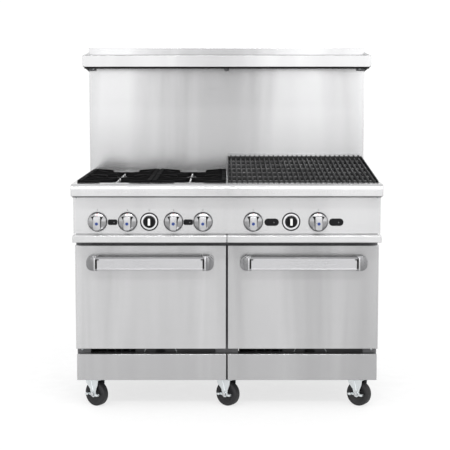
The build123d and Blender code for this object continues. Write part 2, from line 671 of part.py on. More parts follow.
def open_burner(column, row, place):
    """Burner head on an arm, a riser and a mixing tube that starts at its valve."""
    cx, cy = grate_centre(column, row)
    head = (COOK_Z - 74, COOK_Z - 50)
    start = VALVE_Y[1] + 24
    burner = rod_y(BURNER_TUBE_RADIUS, place, (start, cy), KNOB_Z)
    burner += Pos(place, cy, KNOB_Z) * Sphere(BURNER_TUBE_RADIUS)
    burner += rod_z(BURNER_TUBE_RADIUS, place, cy, (KNOB_Z, sum(head) / 2))
    burner += block(sorted((place, cx)), (cy - 11, cy + 11), (head[0] + 1, sum(head) / 2 + 4))
    burner += rod_z(BURNER_HEAD_RADIUS, cx, cy, head)
    cap = (head[1], head[1] + 10)
    burner += Pos(cx, cy, sum(cap) / 2) * Cone(BURNER_HEAD_RADIUS * 0.8, BURNER_HEAD_RADIUS * 0.55, 10)
    return burner


# ---------------------------------------------------------------- charbroiler
def broiler_line(y, rise=0.0):
    """Height of the sloping broiler top at a depth."""
    share = (y - CUT_Y[0]) / (CUT_Y[1] - CUT_Y[0])
    return COOK_Z + BROILER_FRONT_RISE + share * (BROILER_BACK_RISE - BROILER_FRONT_RISE) + rise


def broiler_angle():
    """Slope of the broiler grates in degrees."""
    return math.degrees(math.atan2(BROILER_BACK_RISE - BROILER_FRONT_RISE, CUT_Y[1] - CUT_Y[0]))


def broiler_firebox():
    """Open-bottomed iron box with side walls that follow the slope of the grates."""
    x = (BROILER_AREA[0] + GAP, BROILER_AREA[1] - GAP)
    y = (CUT_Y[0] + GAP, RISER_Y - UPSTAND_DEPTH - GAP)
    base = COOK_Z - FIREBOX_DEPTH
    lift = 4.0
    outline = ((y[0], base), (y[1], base), (y[1], broiler_line(y[1], lift)), (y[0], broiler_line(y[0], lift)))
    shell = prism_x(outline, x)
    shell -= block((x[0] + PLATE, x[1] - PLATE), (y[0] + PLATE, y[1] - PLATE), (base - 1, TOP_Z))
    drop = BROILER_BAR_HEIGHT + lift + 1
    for edge in ((y[0] + PLATE, y[0] + PLATE + 10), (y[1] - PLATE - 10, y[1] - PLATE)):
        top = broiler_line(edge[0]) - drop
        shell += block((x[0] + 1, x[1] - 1), edge, (top - 5, top))
    front_top = broiler_line(y[0]) - 8
    shell -= block((x[0] + PLATE, x[1] - PLATE), (y[0] - 1, y[0] + PLATE + 1), (front_top, TOP_Z))
    return shell


def broiler_places():
    """X of each broiler section's centre, and the width of a section."""
    low = BROILER_AREA[0] + GAP + PLATE + 1
    high = BROILER_AREA[1] - GAP - PLATE - 1
    pitch = (high - low) / BROILER_SECTIONS
    return [low + pitch * (step + 0.5) for step in range(BROILER_SECTIONS)], pitch


def broiler_grate(centre, pitch):
    """Bars and cross ties of one section; the bars stand on the ties."""
    start = CUT_Y[0] + GAP + PLATE + 2
    end = RISER_Y - UPSTAND_DEPTH - GAP - PLATE - 3
    length = (end - start) / math.cos(math.radians(broiler_angle())) - 3
    step = pitch / BROILER_BARS
    foot = BROILER_TIE_HEIGHT - BROILER_BAR_HEIGHT
    offsets = [(bar - (BROILER_BARS - 1) / 2) * step for bar in range(BROILER_BARS)]
    half = BROILER_BAR_WIDTH / 2
    cast = [block((x - half, x + half), (0, length), (foot, 0)) for x in offsets]
    for tie in range(BROILER_TIES):
        y = length * (tie + 0.5) / BROILER_TIES
        edge = (y - BROILER_TIE_WIDTH / 2, y + BROILER_TIE_WIDTH / 2)
        cast += [block((offsets[0] - half, offsets[-1] + half), edge, (-BROILER_BAR_HEIGHT, foot))]
    spot = Pos(centre, start + 2, broiler_line(start)) * Rot(broiler_angle(), 0, 0)
    return [spot * piece for piece in cast]


def broiler_burner(centre):
    """Burner tube under one section, carried by the front and back walls."""
    z = COOK_Z - 82
    y = (CUT_Y[0] + GAP + PLATE, RISER_Y - UPSTAND_DEPTH - GAP - PLATE)
    return rod_y(14.0, centre, y, z)


def broiler_radiant(centre):
    """Two leaning iron plates that meet over a burner."""
    y = (CUT_Y[0] + GAP + PLATE + 12, RISER_Y - UPSTAND_DEPTH - GAP - PLATE - 12)
    low = COOK_Z - RADIANT_DROP
    ridge = low + RADIANT_RISE
    plates = []
    for side, _ in SIDES:
        edge = centre + side * RADIANT_HALF
        outline = ((centre, ridge), (edge, low), (edge, low + RADIANT_SHEET), (centre, ridge + RADIANT_SHEET))
        plates.append(prism_y(outline, y))
    return plates


# ---------------------------------------------------------------- riser and shelf
def riser_front():
    """Front sheet of the flue riser with its folded sides and top edge."""
    x = (-HALF, HALF)
    y = (RISER_Y, BACK_Y - SHEET)
    pan = block(x, y, (COOK_Z, TOP_Z))
    inner = (x[0] + SHEET, x[1] - SHEET)
    pan -= block(inner, (y[0] + SHEET, y[1] + 1), (COOK_Z - 1, TOP_Z + 1))
    return pan + block(inner, (y[0] + SHEET, y[0] + 18), (TOP_Z - SHEET, TOP_Z))


def riser_back():
    """Back sheet of the riser, lower than the front to let the flue gas out."""
    return block((-HALF, HALF), (BACK_Y - SHEET, BACK_Y), (COOK_Z, TOP_Z - 40))


def high_shelf():
    """Folded shelf pan with wedge-shaped ends."""
    y = (SHELF_Y, RISER_Y)
    low = SHELF_Z - SHELF_LIP
    x = (-HALF, HALF)
    plate = block(x, y, (SHELF_Z - SHEET, SHELF_Z))
    lip = block(x, (y[0], y[0] + SHEET), (low, SHELF_Z))
    corners = lip.edges().filter_by(Axis.Y).group_by(Axis.Z)[0]
    plate += fillet(corners, SHELF_CORNER)
    plate += block((x[0] + SHELF_CORNER, x[1] - SHELF_CORNER), (y[0], y[0] + 12), (low, low + SHEET))
    end = (
        (y[0], low + SHELF_CORNER), (y[0], SHELF_Z), (y[1], SHELF_Z + SHELF_END_RISE),
        (y[1], low - SHELF_END_DROP), (y[0] + SHELF_CORNER, low),
    )
    for side, _ in SIDES:
        plate += prism_x(end, span(side, HALF - SHEET, HALF))
    return [plate] + shelf_brackets()


def shelf_brackets():
    """Blocks on the riser that carry the shelf at its ends and middle."""
    low = SHELF_Z - SHELF_LIP - SHELF_END_DROP
    y = (RISER_Y - 40, RISER_Y)
    places = [span(side, HALF - SHEET - 46, HALF - SHEET) for side, _ in SIDES]
    places.append((-10, 10))
    return [block(x, y, (low + 4, low + 24)) for x in places]


def panel_screws():
    """Round-head screws of the visible sheets."""
    head = 4.5
    screws = []
    for side, _ in SIDES:
        for z in (RAIL_Z - 9,):
            screws.append(rod_y(head, side * (BODY - 13), (PANEL_FACE - 2, PANEL_FACE), z))
        z = VENT_Z + VENT_GAP / 2
        screws.append(rod_y(head, side * (BODY - 22), (FRAME_Y - 2, FRAME_Y), z))
        low = SHELF_Z - SHELF_LIP - SHELF_END_DROP
        screws.append(rod_y(head, side * (HALF - SHEET - 23), (RISER_Y - 42, RISER_Y - 40), low + 14))
    return screws


# ---------------------------------------------------------------- casters
def caster_places():
    """Name and (x, y) of each swivel axis."""
    steps = (("left", -1), ("centre", 0), ("right", 1))
    columns = [(column, CASTER_SHIFT + step * CASTER_SPREAD) for column, step in steps]
    rows = (("front", FRONT_CASTER_DEPTH), ("rear", BACK_Y - REAR_CASTER_INSET))
    return [(row + "_" + column, x, y) for row, y in rows for column, x in columns]


def caster_plate():
    """Bolted plate with the kingpin that the fork turns on."""
    top = CASTER_HEIGHT
    half = CASTER_PLATE / 2
    plate = block((-half, half), (-half, half), (top - CASTER_PLATE_THICKNESS, top))
    under = FORK_UNDER - GAP
    plate += rod_z(KINGPIN_RADIUS, 0, 0, (under - 1, top - 1))
    return plate + rod_z(KINGPIN_RADIUS + 5, 0, 0, (under - 4, under))


def caster_fork():
    """Pressed fork with its bearing race; the wheel hangs behind the swivel axis."""
    out = FORK_GAP / 2 + FORK_SHEET
    top = FORK_UNDER + FORK_TOP
    fork = block((-24, TRAIL + 26), (-out, out), (FORK_UNDER, top))
    fork += rod_z(RACEWAY_RADIUS, 0, 0, (top, top + RACEWAY_HEIGHT))
    fork += rod_z(RACEWAY_RADIUS, 0, 0, (FORK_UNDER, top))
    leg = ((-24, top), (TRAIL + 26, top), (TRAIL + 13, WHEEL_RADIUS), (TRAIL - 13, WHEEL_RADIUS))
    for y in ((-out, -out + FORK_SHEET), (out - FORK_SHEET, out)):
        fork += prism_y(leg, y)
        fork += rod_y(13.0, TRAIL, y, WHEEL_RADIUS)
    fork -= rod_z(KINGPIN_RADIUS + RUNNING, 0, 0, (FORK_UNDER - 1, CASTER_HEIGHT))
    return fork - rod_y(AXLE_RADIUS, TRAIL, (-out - 1, out + 1), WHEEL_RADIUS)


def caster_axle():
    """Axle bolt with its head outside the brake and a nut on the far leg."""
    out = FORK_GAP / 2 + FORK_SHEET
    bolt = rod_y(AXLE_RADIUS, TRAIL, (-out - 3.4, out + 5), WHEEL_RADIUS)
    bolt += rod_y(AXLE_RADIUS + 3.5, TRAIL, (-out - 8, -out - 3.4), WHEEL_RADIUS)
    return bolt + rod_y(AXLE_RADIUS + 3.5, TRAIL, (out, out + 5), WHEEL_RADIUS)


def caster_wheel():
    """Solid wheel with a rounded tread and a hub."""
    half = WHEEL_WIDTH / 2
    tread = rod_y(WHEEL_RADIUS, TRAIL, (-half, half), WHEEL_RADIUS)
    tread = fillet(tread.edges().filter_by(GeomType.CIRCLE), 5.0)
    wheel = tread + rod_y(HUB_RADIUS, TRAIL, (-HUB_WIDTH / 2, HUB_WIDTH / 2), WHEEL_RADIUS)
    return wheel - rod_y(AXLE_RADIUS + RUNNING, TRAIL, (-HUB_WIDTH, HUB_WIDTH), WHEEL_RADIUS)


def caster_brake():
    """Rocking foot lever on the axle, outside the front leg."""
    out = FORK_GAP / 2 + FORK_SHEET
    y = (-out - 3.0, -out - GAP)
    lever = block((TRAIL - BRAKE_HALF, TRAIL + BRAKE_HALF), y, (WHEEL_RADIUS - 5, WHEEL_RADIUS + 5))
    lever += rod_y(10.0, TRAIL, y, WHEEL_RADIUS)
    for low in (TRAIL - BRAKE_HALF, TRAIL + BRAKE_HALF - BRAKE_TAB):
        tab = block((low, low + BRAKE_TAB), (-out - 13, -out - GAP), (WHEEL_RADIUS - 5, WHEEL_RADIUS + 5))
        lever += tab
    return lever - rod_y(AXLE_RADIUS + RUNNING, TRAIL, (-out - 9, -out + 1), WHEEL_RADIUS)


# ---------------------------------------------------------------- drawers
def crumb_tray(side):
    """Shallow drawer with a folded front strip."""
    x = span(side, 1.0, BODY - 1.0)
    z = (TRAY_Z + 0.5, PANEL_Z - 1.5)
    strip = block(x, (TRAY_FRONT, PANEL_FACE - 1), z)
    strip -= block((x[0] + SHEET, x[1] - SHEET), (TRAY_FRONT + SHEET, PANEL_FACE), (z[0] + SHEET, z[1] - SHEET))
    body = span(side, 8.0, BODY - 10.0)
    y = (PANEL_FACE - 2.5, BACK_Y - 40)
    floor = DECK_Z + GAP
    pan = block(body, y, (floor, PANEL_Z - 6))
    pan -= block((body[0] + SHEET, body[1] - SHEET), (y[0] + SHEET, y[1] - SHEET), (floor + SHEET, PANEL_Z))
    return strip + pan


# ---------------------------------------------------------------- build
def build_body():
    """Static nodes of the body and the ovens."""
    save("side_panels", [side_panel(side) for side, _ in SIDES])
    save("back_panel", [back_panel()])
    save("base_frame", base_frame())
    save("chassis_frame", front_frame() + [oven_deck()])
    save("vent_baffles", [vent_baffle(side) for side, _ in SIDES])
    save("kick_plates", [kick_plate(side) for side, _ in SIDES])
    save("oven_liners", oven_liner(-1) + oven_liner(1))
    save("oven_floor_plates", [oven_floor_plate(side) for side, _ in SIDES])
    save("oven_racks", oven_rack(-1) + oven_rack(1))
    save("oven_burners", [oven_burner(side) for side, _ in SIDES])


def build_controls():
    """Control panel, gas train and knobs."""
    save("control_panel", [control_panel()])
    save("gas_manifold", [gas_manifold()])
    valves = [gas_valve(place) for place in BURNER_KNOBS + BROILER_KNOBS]
    save("gas_valves", valves + [thermostat(place) for place in THERMOSTAT_KNOBS])
    save("thermostat_bezels", [thermostat_bezel(place) for place in THERMOSTAT_KNOBS])
    for number, place in enumerate(BURNER_KNOBS, 1):
        save("burner_knob_%d" % number, burner_knob(place))
    for number, place in enumerate(BROILER_KNOBS, 1):
        save("broiler_knob_%d" % number, burner_knob(place))
    for (_, name), place in zip(SIDES, THERMOSTAT_KNOBS):
        save("thermostat_knob_" + name, thermostat_knob(place))
    save("panel_screws", panel_screws())


def build_cooktop():
    """Rail, cooktop, burners, grates and charbroiler."""
    save("front_rail", [front_rail()])
    save("cooktop_frame", cooktop_frame())
    cells = [(column, row) for column in (0, 1) for row in (0, 1)]
    save("open_burners", [open_burner(c, r, place) for (c, r), place in zip(cells, BURNER_KNOBS)])
    names = (("left", "right"), ("front", "rear"))
    for column, row in cells:
        save("top_grate_%s_%s" % (names[1][row], names[0][column]), [top_grate(column, row)])
    places, pitch = broiler_places()
    save("broiler_firebox", [broiler_firebox()])
    save("broiler_burners", [broiler_burner(place) for place in places])
    save("broiler_radiants", [plate for place in places for plate in broiler_radiant(place)])
    save("broiler_grates", [piece for place in places for piece in broiler_grate(place, pitch)])


def build_riser():
    """Riser and shelf."""
    save("riser_panels", [riser_front(), riser_back()])
    save("high_shelf", high_shelf())


def build_doors_and_trays():
    """Oven doors, handles and crumb trays."""
    for side, name in SIDES:
        save("door_skin_" + name, [door_skin(side)])
        save("door_liner_" + name, [door_liner(side)])
        save("door_handle_" + name, [door_handle(side)])
        save("crumb_tray_" + name, [crumb_tray(side)])


def build_casters():
    """Six swivel casters; the front three have brakes."""
    places = caster_places()
    save("caster_plates", [Pos(x, y, 0) * caster_plate() for _, x, y in places])
    for name, x, y in places:
        spot = Pos(x, y, 0) * Rot(0, 0, CASTER_TURN)
        save("caster_fork_" + name, [spot * caster_fork(), spot * caster_axle()])
        save("caster_wheel_" + name, [spot * caster_wheel()])
        if name.startswith("front"):
            save("caster_brake_" + name, [spot * caster_brake()])


def main():
    """Write every node."""
    os.makedirs("parts", exist_ok=True)
    build_body()
    build_controls()
    build_cooktop()
    build_riser()
    build_doors_and_trays()
    build_casters()


main()
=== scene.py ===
"""Commercial gas range: open burners beside a charbroiler, two ovens, a riser and a high shelf.

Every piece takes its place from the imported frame, in metres: +X to the user's right and +Y to
the back.
"""
import json
import logging
import math
from dataclasses import dataclass, field
from enum import Enum
from typing import Iterable, Optional, Sequence

import bmesh
import bpy
from mathutils import Matrix, Vector


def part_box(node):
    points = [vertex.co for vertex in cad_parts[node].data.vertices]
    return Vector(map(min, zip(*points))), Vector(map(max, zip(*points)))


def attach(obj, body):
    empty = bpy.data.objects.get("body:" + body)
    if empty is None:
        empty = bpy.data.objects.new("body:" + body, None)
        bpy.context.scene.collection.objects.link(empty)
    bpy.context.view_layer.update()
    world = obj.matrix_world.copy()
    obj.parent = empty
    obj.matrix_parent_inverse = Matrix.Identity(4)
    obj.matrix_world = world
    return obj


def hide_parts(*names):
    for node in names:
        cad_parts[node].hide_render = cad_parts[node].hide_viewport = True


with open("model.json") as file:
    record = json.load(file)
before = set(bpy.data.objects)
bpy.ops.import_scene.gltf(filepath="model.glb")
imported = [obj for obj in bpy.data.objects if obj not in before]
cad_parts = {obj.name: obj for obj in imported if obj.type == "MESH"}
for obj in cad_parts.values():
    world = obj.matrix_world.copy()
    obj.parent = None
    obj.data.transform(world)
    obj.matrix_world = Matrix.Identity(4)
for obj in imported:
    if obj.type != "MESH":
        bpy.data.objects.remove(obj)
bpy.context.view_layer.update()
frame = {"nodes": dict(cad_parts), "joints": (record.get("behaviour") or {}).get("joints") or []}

LOG = logging.getLogger("gas_range")
Colour = tuple[float, float, float]
Tree = bpy.types.NodeTree
ShaderTree = bpy.types.ShaderNodeTree
Node = bpy.types.Node
Socket = bpy.types.NodeSocket
Material = bpy.types.Material
Span = tuple[float, float]
Point = tuple[float, float]
SIDES = ("left", "right")


class Grain(Enum):
    """Direction that a sheet was brushed in."""

    ALONG_X = (9.0, 1100.0, 1100.0)
    ALONG_Y = (1100.0, 9.0, 1100.0)


class Axis(Enum):
    """Axis that an outline is extruded along, or that a turned part stands on."""

    X = 0
    Y = 1
    Z = 2


# ------------------------------------------------------------------ shader groups
def join(tree: Tree, source: Node, output: str, target: Node, socket: str | int) -> None:
    """Join a node's named output to another node's input."""
    tree.links.new(source.outputs[output], target.inputs[socket])


class GroupKit:
    """Shader node groups that several finishes share, each built once."""

    def __init__(self) -> None:
        """Start with no group built."""
        self.made: dict[str, ShaderTree] = {}

    def start(self, name: str, inputs: dict[str, str], outputs: dict[str, str]) -> tuple:
        """Make an empty group with its sockets.

        Args:
            name: the group's name.
            inputs: socket name to socket type.
            outputs: socket name to socket type.

        Returns:
            The tree, its input node and its output node.
        """
        tree = bpy.data.node_groups.new(name, "ShaderNodeTree")
        for label, kind in inputs.items():
            tree.interface.new_socket(name=label, in_out="INPUT", socket_type=kind)
        for label, kind in outputs.items():
            tree.interface.new_socket(name=label, in_out="OUTPUT", socket_type=kind)
        self.made[name] = tree
        return tree, tree.nodes.new("NodeGroupInput"), tree.nodes.new("NodeGroupOutput")

    def brushed_grain(self) -> ShaderTree:
        """Long fine scratches: a tone and a height, both about 0 to 1."""
        if "BrushedGrain" in self.made:
            return self.made["BrushedGrain"]
        tree, given, result = self.start(
            "BrushedGrain", {"Vector": "NodeSocketVector", "Detail": "NodeSocketFloat"},
            {"Tone": "NodeSocketFloat", "Height": "NodeSocketFloat"})
        fine = add_node(tree, "ShaderNodeTexNoise", {"Scale": 1.0, "Roughness": 0.6})
        join(tree, given, "Vector", fine, "Vector")
        join(tree, given, "Detail", fine, "Detail")
        tone = add_node(tree, "ShaderNodeMapRange", {"From Min": 0.3, "From Max": 0.7})
        join(tree, fine, "Fac", tone, "Value")
        join(tree, tone, "Result", result, "Tone")
        join(tree, fine, "Fac", result, "Height")
        return tree

    def smears(self) -> ShaderTree:
        """Wide soft patches, as from wiping: a mask from 0 to 1. Brushed steel stretches it into
        upright bands and darkens its tone there as painted reflection.
        """
        if "Smears" in self.made:
            return self.made["Smears"]
        tree, given, result = self.start(
            "Smears", {"Vector": "NodeSocketVector", "Scale": "NodeSocketFloat"},
            {"Mask": "NodeSocketFloat"})
        soft = add_node(tree, "ShaderNodeTexNoise", {"Detail": 3.0, "Distortion": 0.6})
        join(tree, given, "Vector", soft, "Vector")
        join(tree, given, "Scale", soft, "Scale")
        mask = add_node(tree, "ShaderNodeMapRange", {"From Min": 0.35, "From Max": 0.68})
        join(tree, soft, "Fac", mask, "Value")
        join(tree, mask, "Result", result, "Mask")
        return tree

    def edge_wear(self) -> ShaderTree:
        """Rubbed outer edges, broken up by noise: a mask from 0 to 1."""
        if "EdgeWear" in self.made:
            return self.made["EdgeWear"]
        tree, given, result = self.start(
            "EdgeWear", {"Vector": "NodeSocketVector", "Breakup": "NodeSocketFloat"},
            {"Mask": "NodeSocketFloat"})
        shape = add_node(tree, "ShaderNodeNewGeometry")
        edge = add_node(tree, "ShaderNodeMapRange", {"From Min": 0.51, "From Max": 0.60})
        join(tree, shape, "Pointiness", edge, "Value")
        noise = add_node(tree, "ShaderNodeTexNoise", {"Detail": 4.0})
        join(tree, given, "Vector", noise, "Vector")
        join(tree, given, "Breakup", noise, "Scale")
        both = add_node(tree, "ShaderNodeMath", operation="MULTIPLY")
        join(tree, edge, "Result", both, 0)
        join(tree, noise, "Fac", both, 1)
        join(tree, both, "Value", result, "Mask")
        return tree

    def cast_skin(self) -> ShaderTree:
        """Sand-cast surface: pits and grit as a tone and a height."""
        if "CastSkin" in self.made:
            return self.made["CastSkin"]
        tree, given, result = self.start(
            "CastSkin", {"Vector": "NodeSocketVector", "Scale": "NodeSocketFloat"},
            {"Tone": "NodeSocketFloat", "Height": "NodeSocketFloat"})
        grit = add_node(tree, "ShaderNodeTexNoise", {"Detail": 6.0, "Roughness": 0.7})
        pits = add_node(tree, "ShaderNodeTexVoronoi")
        both = add_node(tree, "ShaderNodeMath", operation="ADD")
        for texture in (grit, pits):
            join(tree, given, "Vector", texture, "Vector")
            join(tree, given, "Scale", texture, "Scale")
        join(tree, grit, "Fac", both, 0)
        join(tree, pits, "Distance", both, 1)
        join(tree, grit, "Fac", result, "Tone")
        join(tree, both, "Value", result, "Height")
        return tree


GROUPS = GroupKit()


def add_node(tree: Tree, kind: str, values: Optional[dict] = None, **settings: str) -> Node:
    """Add a node and set its sockets and properties.

    Args:
        tree: where the node goes.
        kind: the node's type name.
        values: socket name or number to its value.
        **settings: node properties.

    Returns:
        The node.
    """
    node = tree.nodes.new(kind)
    for label, value in settings.items():
        setattr(node, label, value)
    for label, value in (values or {}).items():
        node.inputs[label].default_value = value
    return node


class Sheet:
    """One material's node tree, with the steps that most finishes share."""

    def __init__(self, name: str, metallic: float, roughness: float) -> None:
        """Make the material with a Principled shader.

        Args:
            name: the material's name.
            metallic: 0 or 1, or between for dull plating.
            roughness: starting roughness, which a pattern may replace.
        """
        self.material = bpy.data.materials.new(name)
        self.material.use_nodes = True
        self.tree = self.material.node_tree
        self.shader = self.tree.nodes["Principled BSDF"]
        self.shader.inputs["Metallic"].default_value = metallic
        self.shader.inputs["Roughness"].default_value = roughness
        self.place = add_node(self.tree, "ShaderNodeTexCoord").outputs["Object"]

    def stretched(self, scale: Sequence[float]) -> Socket:
        """Object coordinates multiplied per axis."""
        mapping = add_node(self.tree, "ShaderNodeMapping", {"Scale": scale})
        self.tree.links.new(self.place, mapping.inputs["Vector"])
        return mapping.outputs["Vector"]

    def group(self, tree: ShaderTree, vector: Socket, **values: float) -> Node:
        """Place a shared group and give it its own values."""
        node = self.tree.nodes.new("ShaderNodeGroup")
        node.node_tree = tree
        self.tree.links.new(vector, node.inputs["Vector"])
        for label, value in values.items():
            node.inputs[label].default_value = value
        return node

    def mix(self, mask: Socket, low: object, high: object) -> Socket:
        """Blend two colours, or a colour and an earlier result, by a mask."""
        node = add_node(self.tree, "ShaderNodeMix", data_type="RGBA")
        self.tree.links.new(mask, node.inputs["Factor"])
        for label, value in (("A", low), ("B", high)):
            socket = [s for s in node.inputs if s.name == label and s.type == "RGBA"][0]
            if isinstance(value, Socket):
                self.tree.links.new(value, socket)
            else:
                socket.default_value = (*value, 1.0)
        return [s for s in node.outputs if s.type == "RGBA"][0]

    def spread(self, value: Socket, low: float, high: float) -> Socket:
        """Map a 0 to 1 value onto a range."""
        node = add_node(self.tree, "ShaderNodeMapRange", {"To Min": low, "To Max": high})
        self.tree.links.new(value, node.inputs["Value"])
        return node.outputs["Result"]

    def sum(self, one: Socket, two: Socket) -> Socket:
        """Add two values."""
        node = add_node(self.tree, "ShaderNodeMath", operation="ADD")
        self.tree.links.new(one, node.inputs[0])
        self.tree.links.new(two, node.inputs[1])
        return node.outputs["Value"]

    def colour(self, value: Socket) -> None:
        """Send a colour to the shader."""
        self.tree.links.new(value, self.shader.inputs["Base Color"])

    def roughness(self, value: Socket) -> None:
        """Send a roughness to the shader."""
        self.tree.links.new(value, self.shader.inputs["Roughness"])

    def bump(self, height: Socket, strength: float, distance: float) -> None:
        """Raise the surface by a height in metres times the distance."""
        node = add_node(self.tree, "ShaderNodeBump", {"Strength": strength, "Distance": distance})
        self.tree.links.new(height, node.inputs["Height"])
        self.tree.links.new(node.outputs["Normal"], self.shader.inputs["Normal"])


# ------------------------------------------------------------------ finishes
@dataclass(frozen=True)
class Finish:
    """A finish with a plain name and the material slot that it belongs to."""

    name: str
    slot: str
    tone: Colour

    def make(self) -> Material:
        """Return the finish's material, building it the first time."""
        found = bpy.data.materials.get(self.name)
        return found if found else self.build()

    def build(self) -> Material:
        """Build the material."""
        raise NotImplementedError


def scaled(tone: Colour, factor: float) -> Colour:
    """A colour made lighter or darker, kept under 1."""
    return tuple(min(1.0, part * factor) for part in tone)


@dataclass(frozen=True)
class BrushedSteel(Finish):
    """Number four stainless sheet: fine grain, a slight wave in the sheet, and upright soft bands
    that vary the roughness like wiping and darken the tone as painted reflection.
    """

    grain: Grain = Grain.ALONG_X
    gloss: float = 0.19
    contrast: float = 0.025
    wave: float = 0.04
    stretch: float = 0.85
    # Tone kept in the darkest upright bands: painted reflection.
    painted_band_tone: float = 0.66

    def build(self) -> Material:
        """Grain in tone and roughness, upright bands in roughness and in tone (the tone part is
        painted reflection), and wave in the normal.
        """
        sheet = Sheet(self.name, 0.82, self.gloss)
        sheet.shader.inputs["Anisotropic"].default_value = self.stretch
        sheet.shader.inputs["Anisotropic Rotation"].default_value = 0.25
        grain = sheet.group(GROUPS.brushed_grain(), sheet.stretched(self.grain.value), Detail=3.0)
        # Soft patches stretched upright into vertical bands: their darkening of the tone is painted
        # reflection, their roughness change is wiping.
        smears = sheet.group(GROUPS.smears(), sheet.stretched((1.0, 1.0, 0.08)), Scale=4.2)
        toned = sheet.mix(grain.outputs["Tone"], scaled(self.tone, 1 - self.contrast),
            scaled(self.tone, 1.02))
        sheet.colour(sheet.mix(smears.outputs["Mask"], toned, scaled(self.tone, self.painted_band_tone)))
        fine = sheet.spread(grain.outputs["Tone"], self.gloss - 0.03, self.gloss + 0.03)
        wide = sheet.spread(smears.outputs["Mask"], -0.02, 0.04)
        sheet.roughness(sheet.sum(fine, wide))
        buckle = add_node(sheet.tree, "ShaderNodeTexNoise", {"Scale": 1.0, "Detail": 1.0})
        sheet.tree.links.new(sheet.stretched((5.5, 5.5, 0.8)), buckle.inputs["Vector"])
        sheet.bump(buckle.outputs["Fac"], self.wave, 0.012)
        return sheet.material


@dataclass(frozen=True)
class CastIron(Finish):
    """Cast iron with seasoned, gritty skin and rubbed edges."""

    gloss: float = 0.5
    shine: float = 0.16

    def build(self) -> Material:
        """Grit in tone and height, bare metal on the edges."""
        sheet = Sheet(self.name, 0.0, self.gloss)
        sheet.shader.inputs["Specular IOR Level"].default_value = self.shine
        skin = sheet.group(GROUPS.cast_skin(), sheet.place, Scale=420.0)
        wear = sheet.group(GROUPS.edge_wear(), sheet.place, Breakup=60.0)
        smears = sheet.group(GROUPS.smears(), sheet.place, Scale=11.0)
        toned = sheet.mix(skin.outputs["Tone"], scaled(self.tone, 0.6), scaled(self.tone, 1.5))
        sheet.colour(sheet.mix(wear.outputs["Mask"], toned, scaled(self.tone, 2.5)))
        sheet.roughness(sheet.spread(smears.outputs["Mask"], self.gloss - 0.08, self.gloss + 0.15))
        sheet.bump(skin.outputs["Height"], 0.35, 0.0005)
        return sheet.material


@dataclass(frozen=True)
class Plated(Finish):
    """Bright plating, polished or dull, with faint wiping marks."""

    gloss: float = 0.1
    fineness: float = 30.0

    def build(self) -> Material:
        """Smears in tone and roughness, a trace of orange peel in the normal."""
        sheet = Sheet(self.name, 1.0, self.gloss)
        smears = sheet.group(GROUPS.smears(), sheet.place, Scale=self.fineness)
        skin = sheet.group(GROUPS.cast_skin(), sheet.place, Scale=self.fineness * 20)
        wear = sheet.group(GROUPS.edge_wear(), sheet.place, Breakup=80.0)
        toned = sheet.mix(smears.outputs["Mask"], scaled(self.tone, 0.9), scaled(self.tone, 1.03))
        sheet.colour(sheet.mix(wear.outputs["Mask"], toned, scaled(self.tone, 1.15)))
        sheet.roughness(sheet.spread(smears.outputs["Mask"], self.gloss * 0.8,
            self.gloss * 1.3 + 0.03))
        sheet.bump(skin.outputs["Height"], 0.05, 0.0003)
        return sheet.material


@dataclass(frozen=True)
class Galvanised(Finish):
    """Aluminised or zinc-coated sheet with crystals of slightly different tone."""

    gloss: float = 0.42
    crystal: float = 55.0

    def build(self) -> Material:
        """Crystals in tone and roughness."""
        sheet = Sheet(self.name, 0.85, self.gloss)
        cells = add_node(sheet.tree, "ShaderNodeTexVoronoi", {"Scale": self.crystal})
        sheet.tree.links.new(sheet.place, cells.inputs["Vector"])
        grey = add_node(sheet.tree, "ShaderNodeRGBToBW")
        join(sheet.tree, cells, "Color", grey, "Color")
        smears = sheet.group(GROUPS.smears(), sheet.place, Scale=3.0)
        toned = sheet.mix(grey.outputs["Val"], scaled(self.tone, 0.82), scaled(self.tone, 1.12))
        sheet.colour(sheet.mix(smears.outputs["Mask"], toned, scaled(self.tone, 0.93)))
        sheet.roughness(sheet.spread(grey.outputs["Val"], self.gloss - 0.08, self.gloss + 0.12))
        sheet.bump(grey.outputs["Val"], 0.05, 0.0005)
        return sheet.material


@dataclass(frozen=True)
class Coated(Finish):
    """Paint, enamel, plastic or rubber: a dielectric with speckle, dust and rubbed edges."""

    gloss: float = 0.4
    speck: Colour = (0.3, 0.3, 0.3)
    speck_share: float = 0.1
    texture: float = 300.0
    depth: float = 0.0002
    glow: float = 0.0
    shine: float = 0.3

    def build(self) -> Material:
        """Speckle in tone, dust in roughness and a fine skin in the normal."""
        sheet = Sheet(self.name, 0.0, self.gloss)
        sheet.shader.inputs["Specular IOR Level"].default_value = self.shine
        if self.glow:
            sheet.shader.inputs["Emission Color"].default_value = (1.0, 1.0, 1.0, 1.0)
            sheet.shader.inputs["Emission Strength"].default_value = self.glow
        skin = sheet.group(GROUPS.cast_skin(), sheet.place, Scale=self.texture)
        smears = sheet.group(GROUPS.smears(), sheet.place, Scale=14.0)
        wear = sheet.group(GROUPS.edge_wear(), sheet.place, Breakup=50.0)
        faint = sheet.spread(skin.outputs["Tone"], 0.0, self.speck_share * 2)
        toned = sheet.mix(faint, self.tone, self.speck)
        sheet.colour(sheet.mix(wear.outputs["Mask"], toned, scaled(self.tone, 1.8)))
        sheet.roughness(sheet.spread(smears.outputs["Mask"], self.gloss - 0.06, self.gloss + 0.12))
        sheet.bump(skin.outputs["Height"], 0.25, self.depth)
        return sheet.material


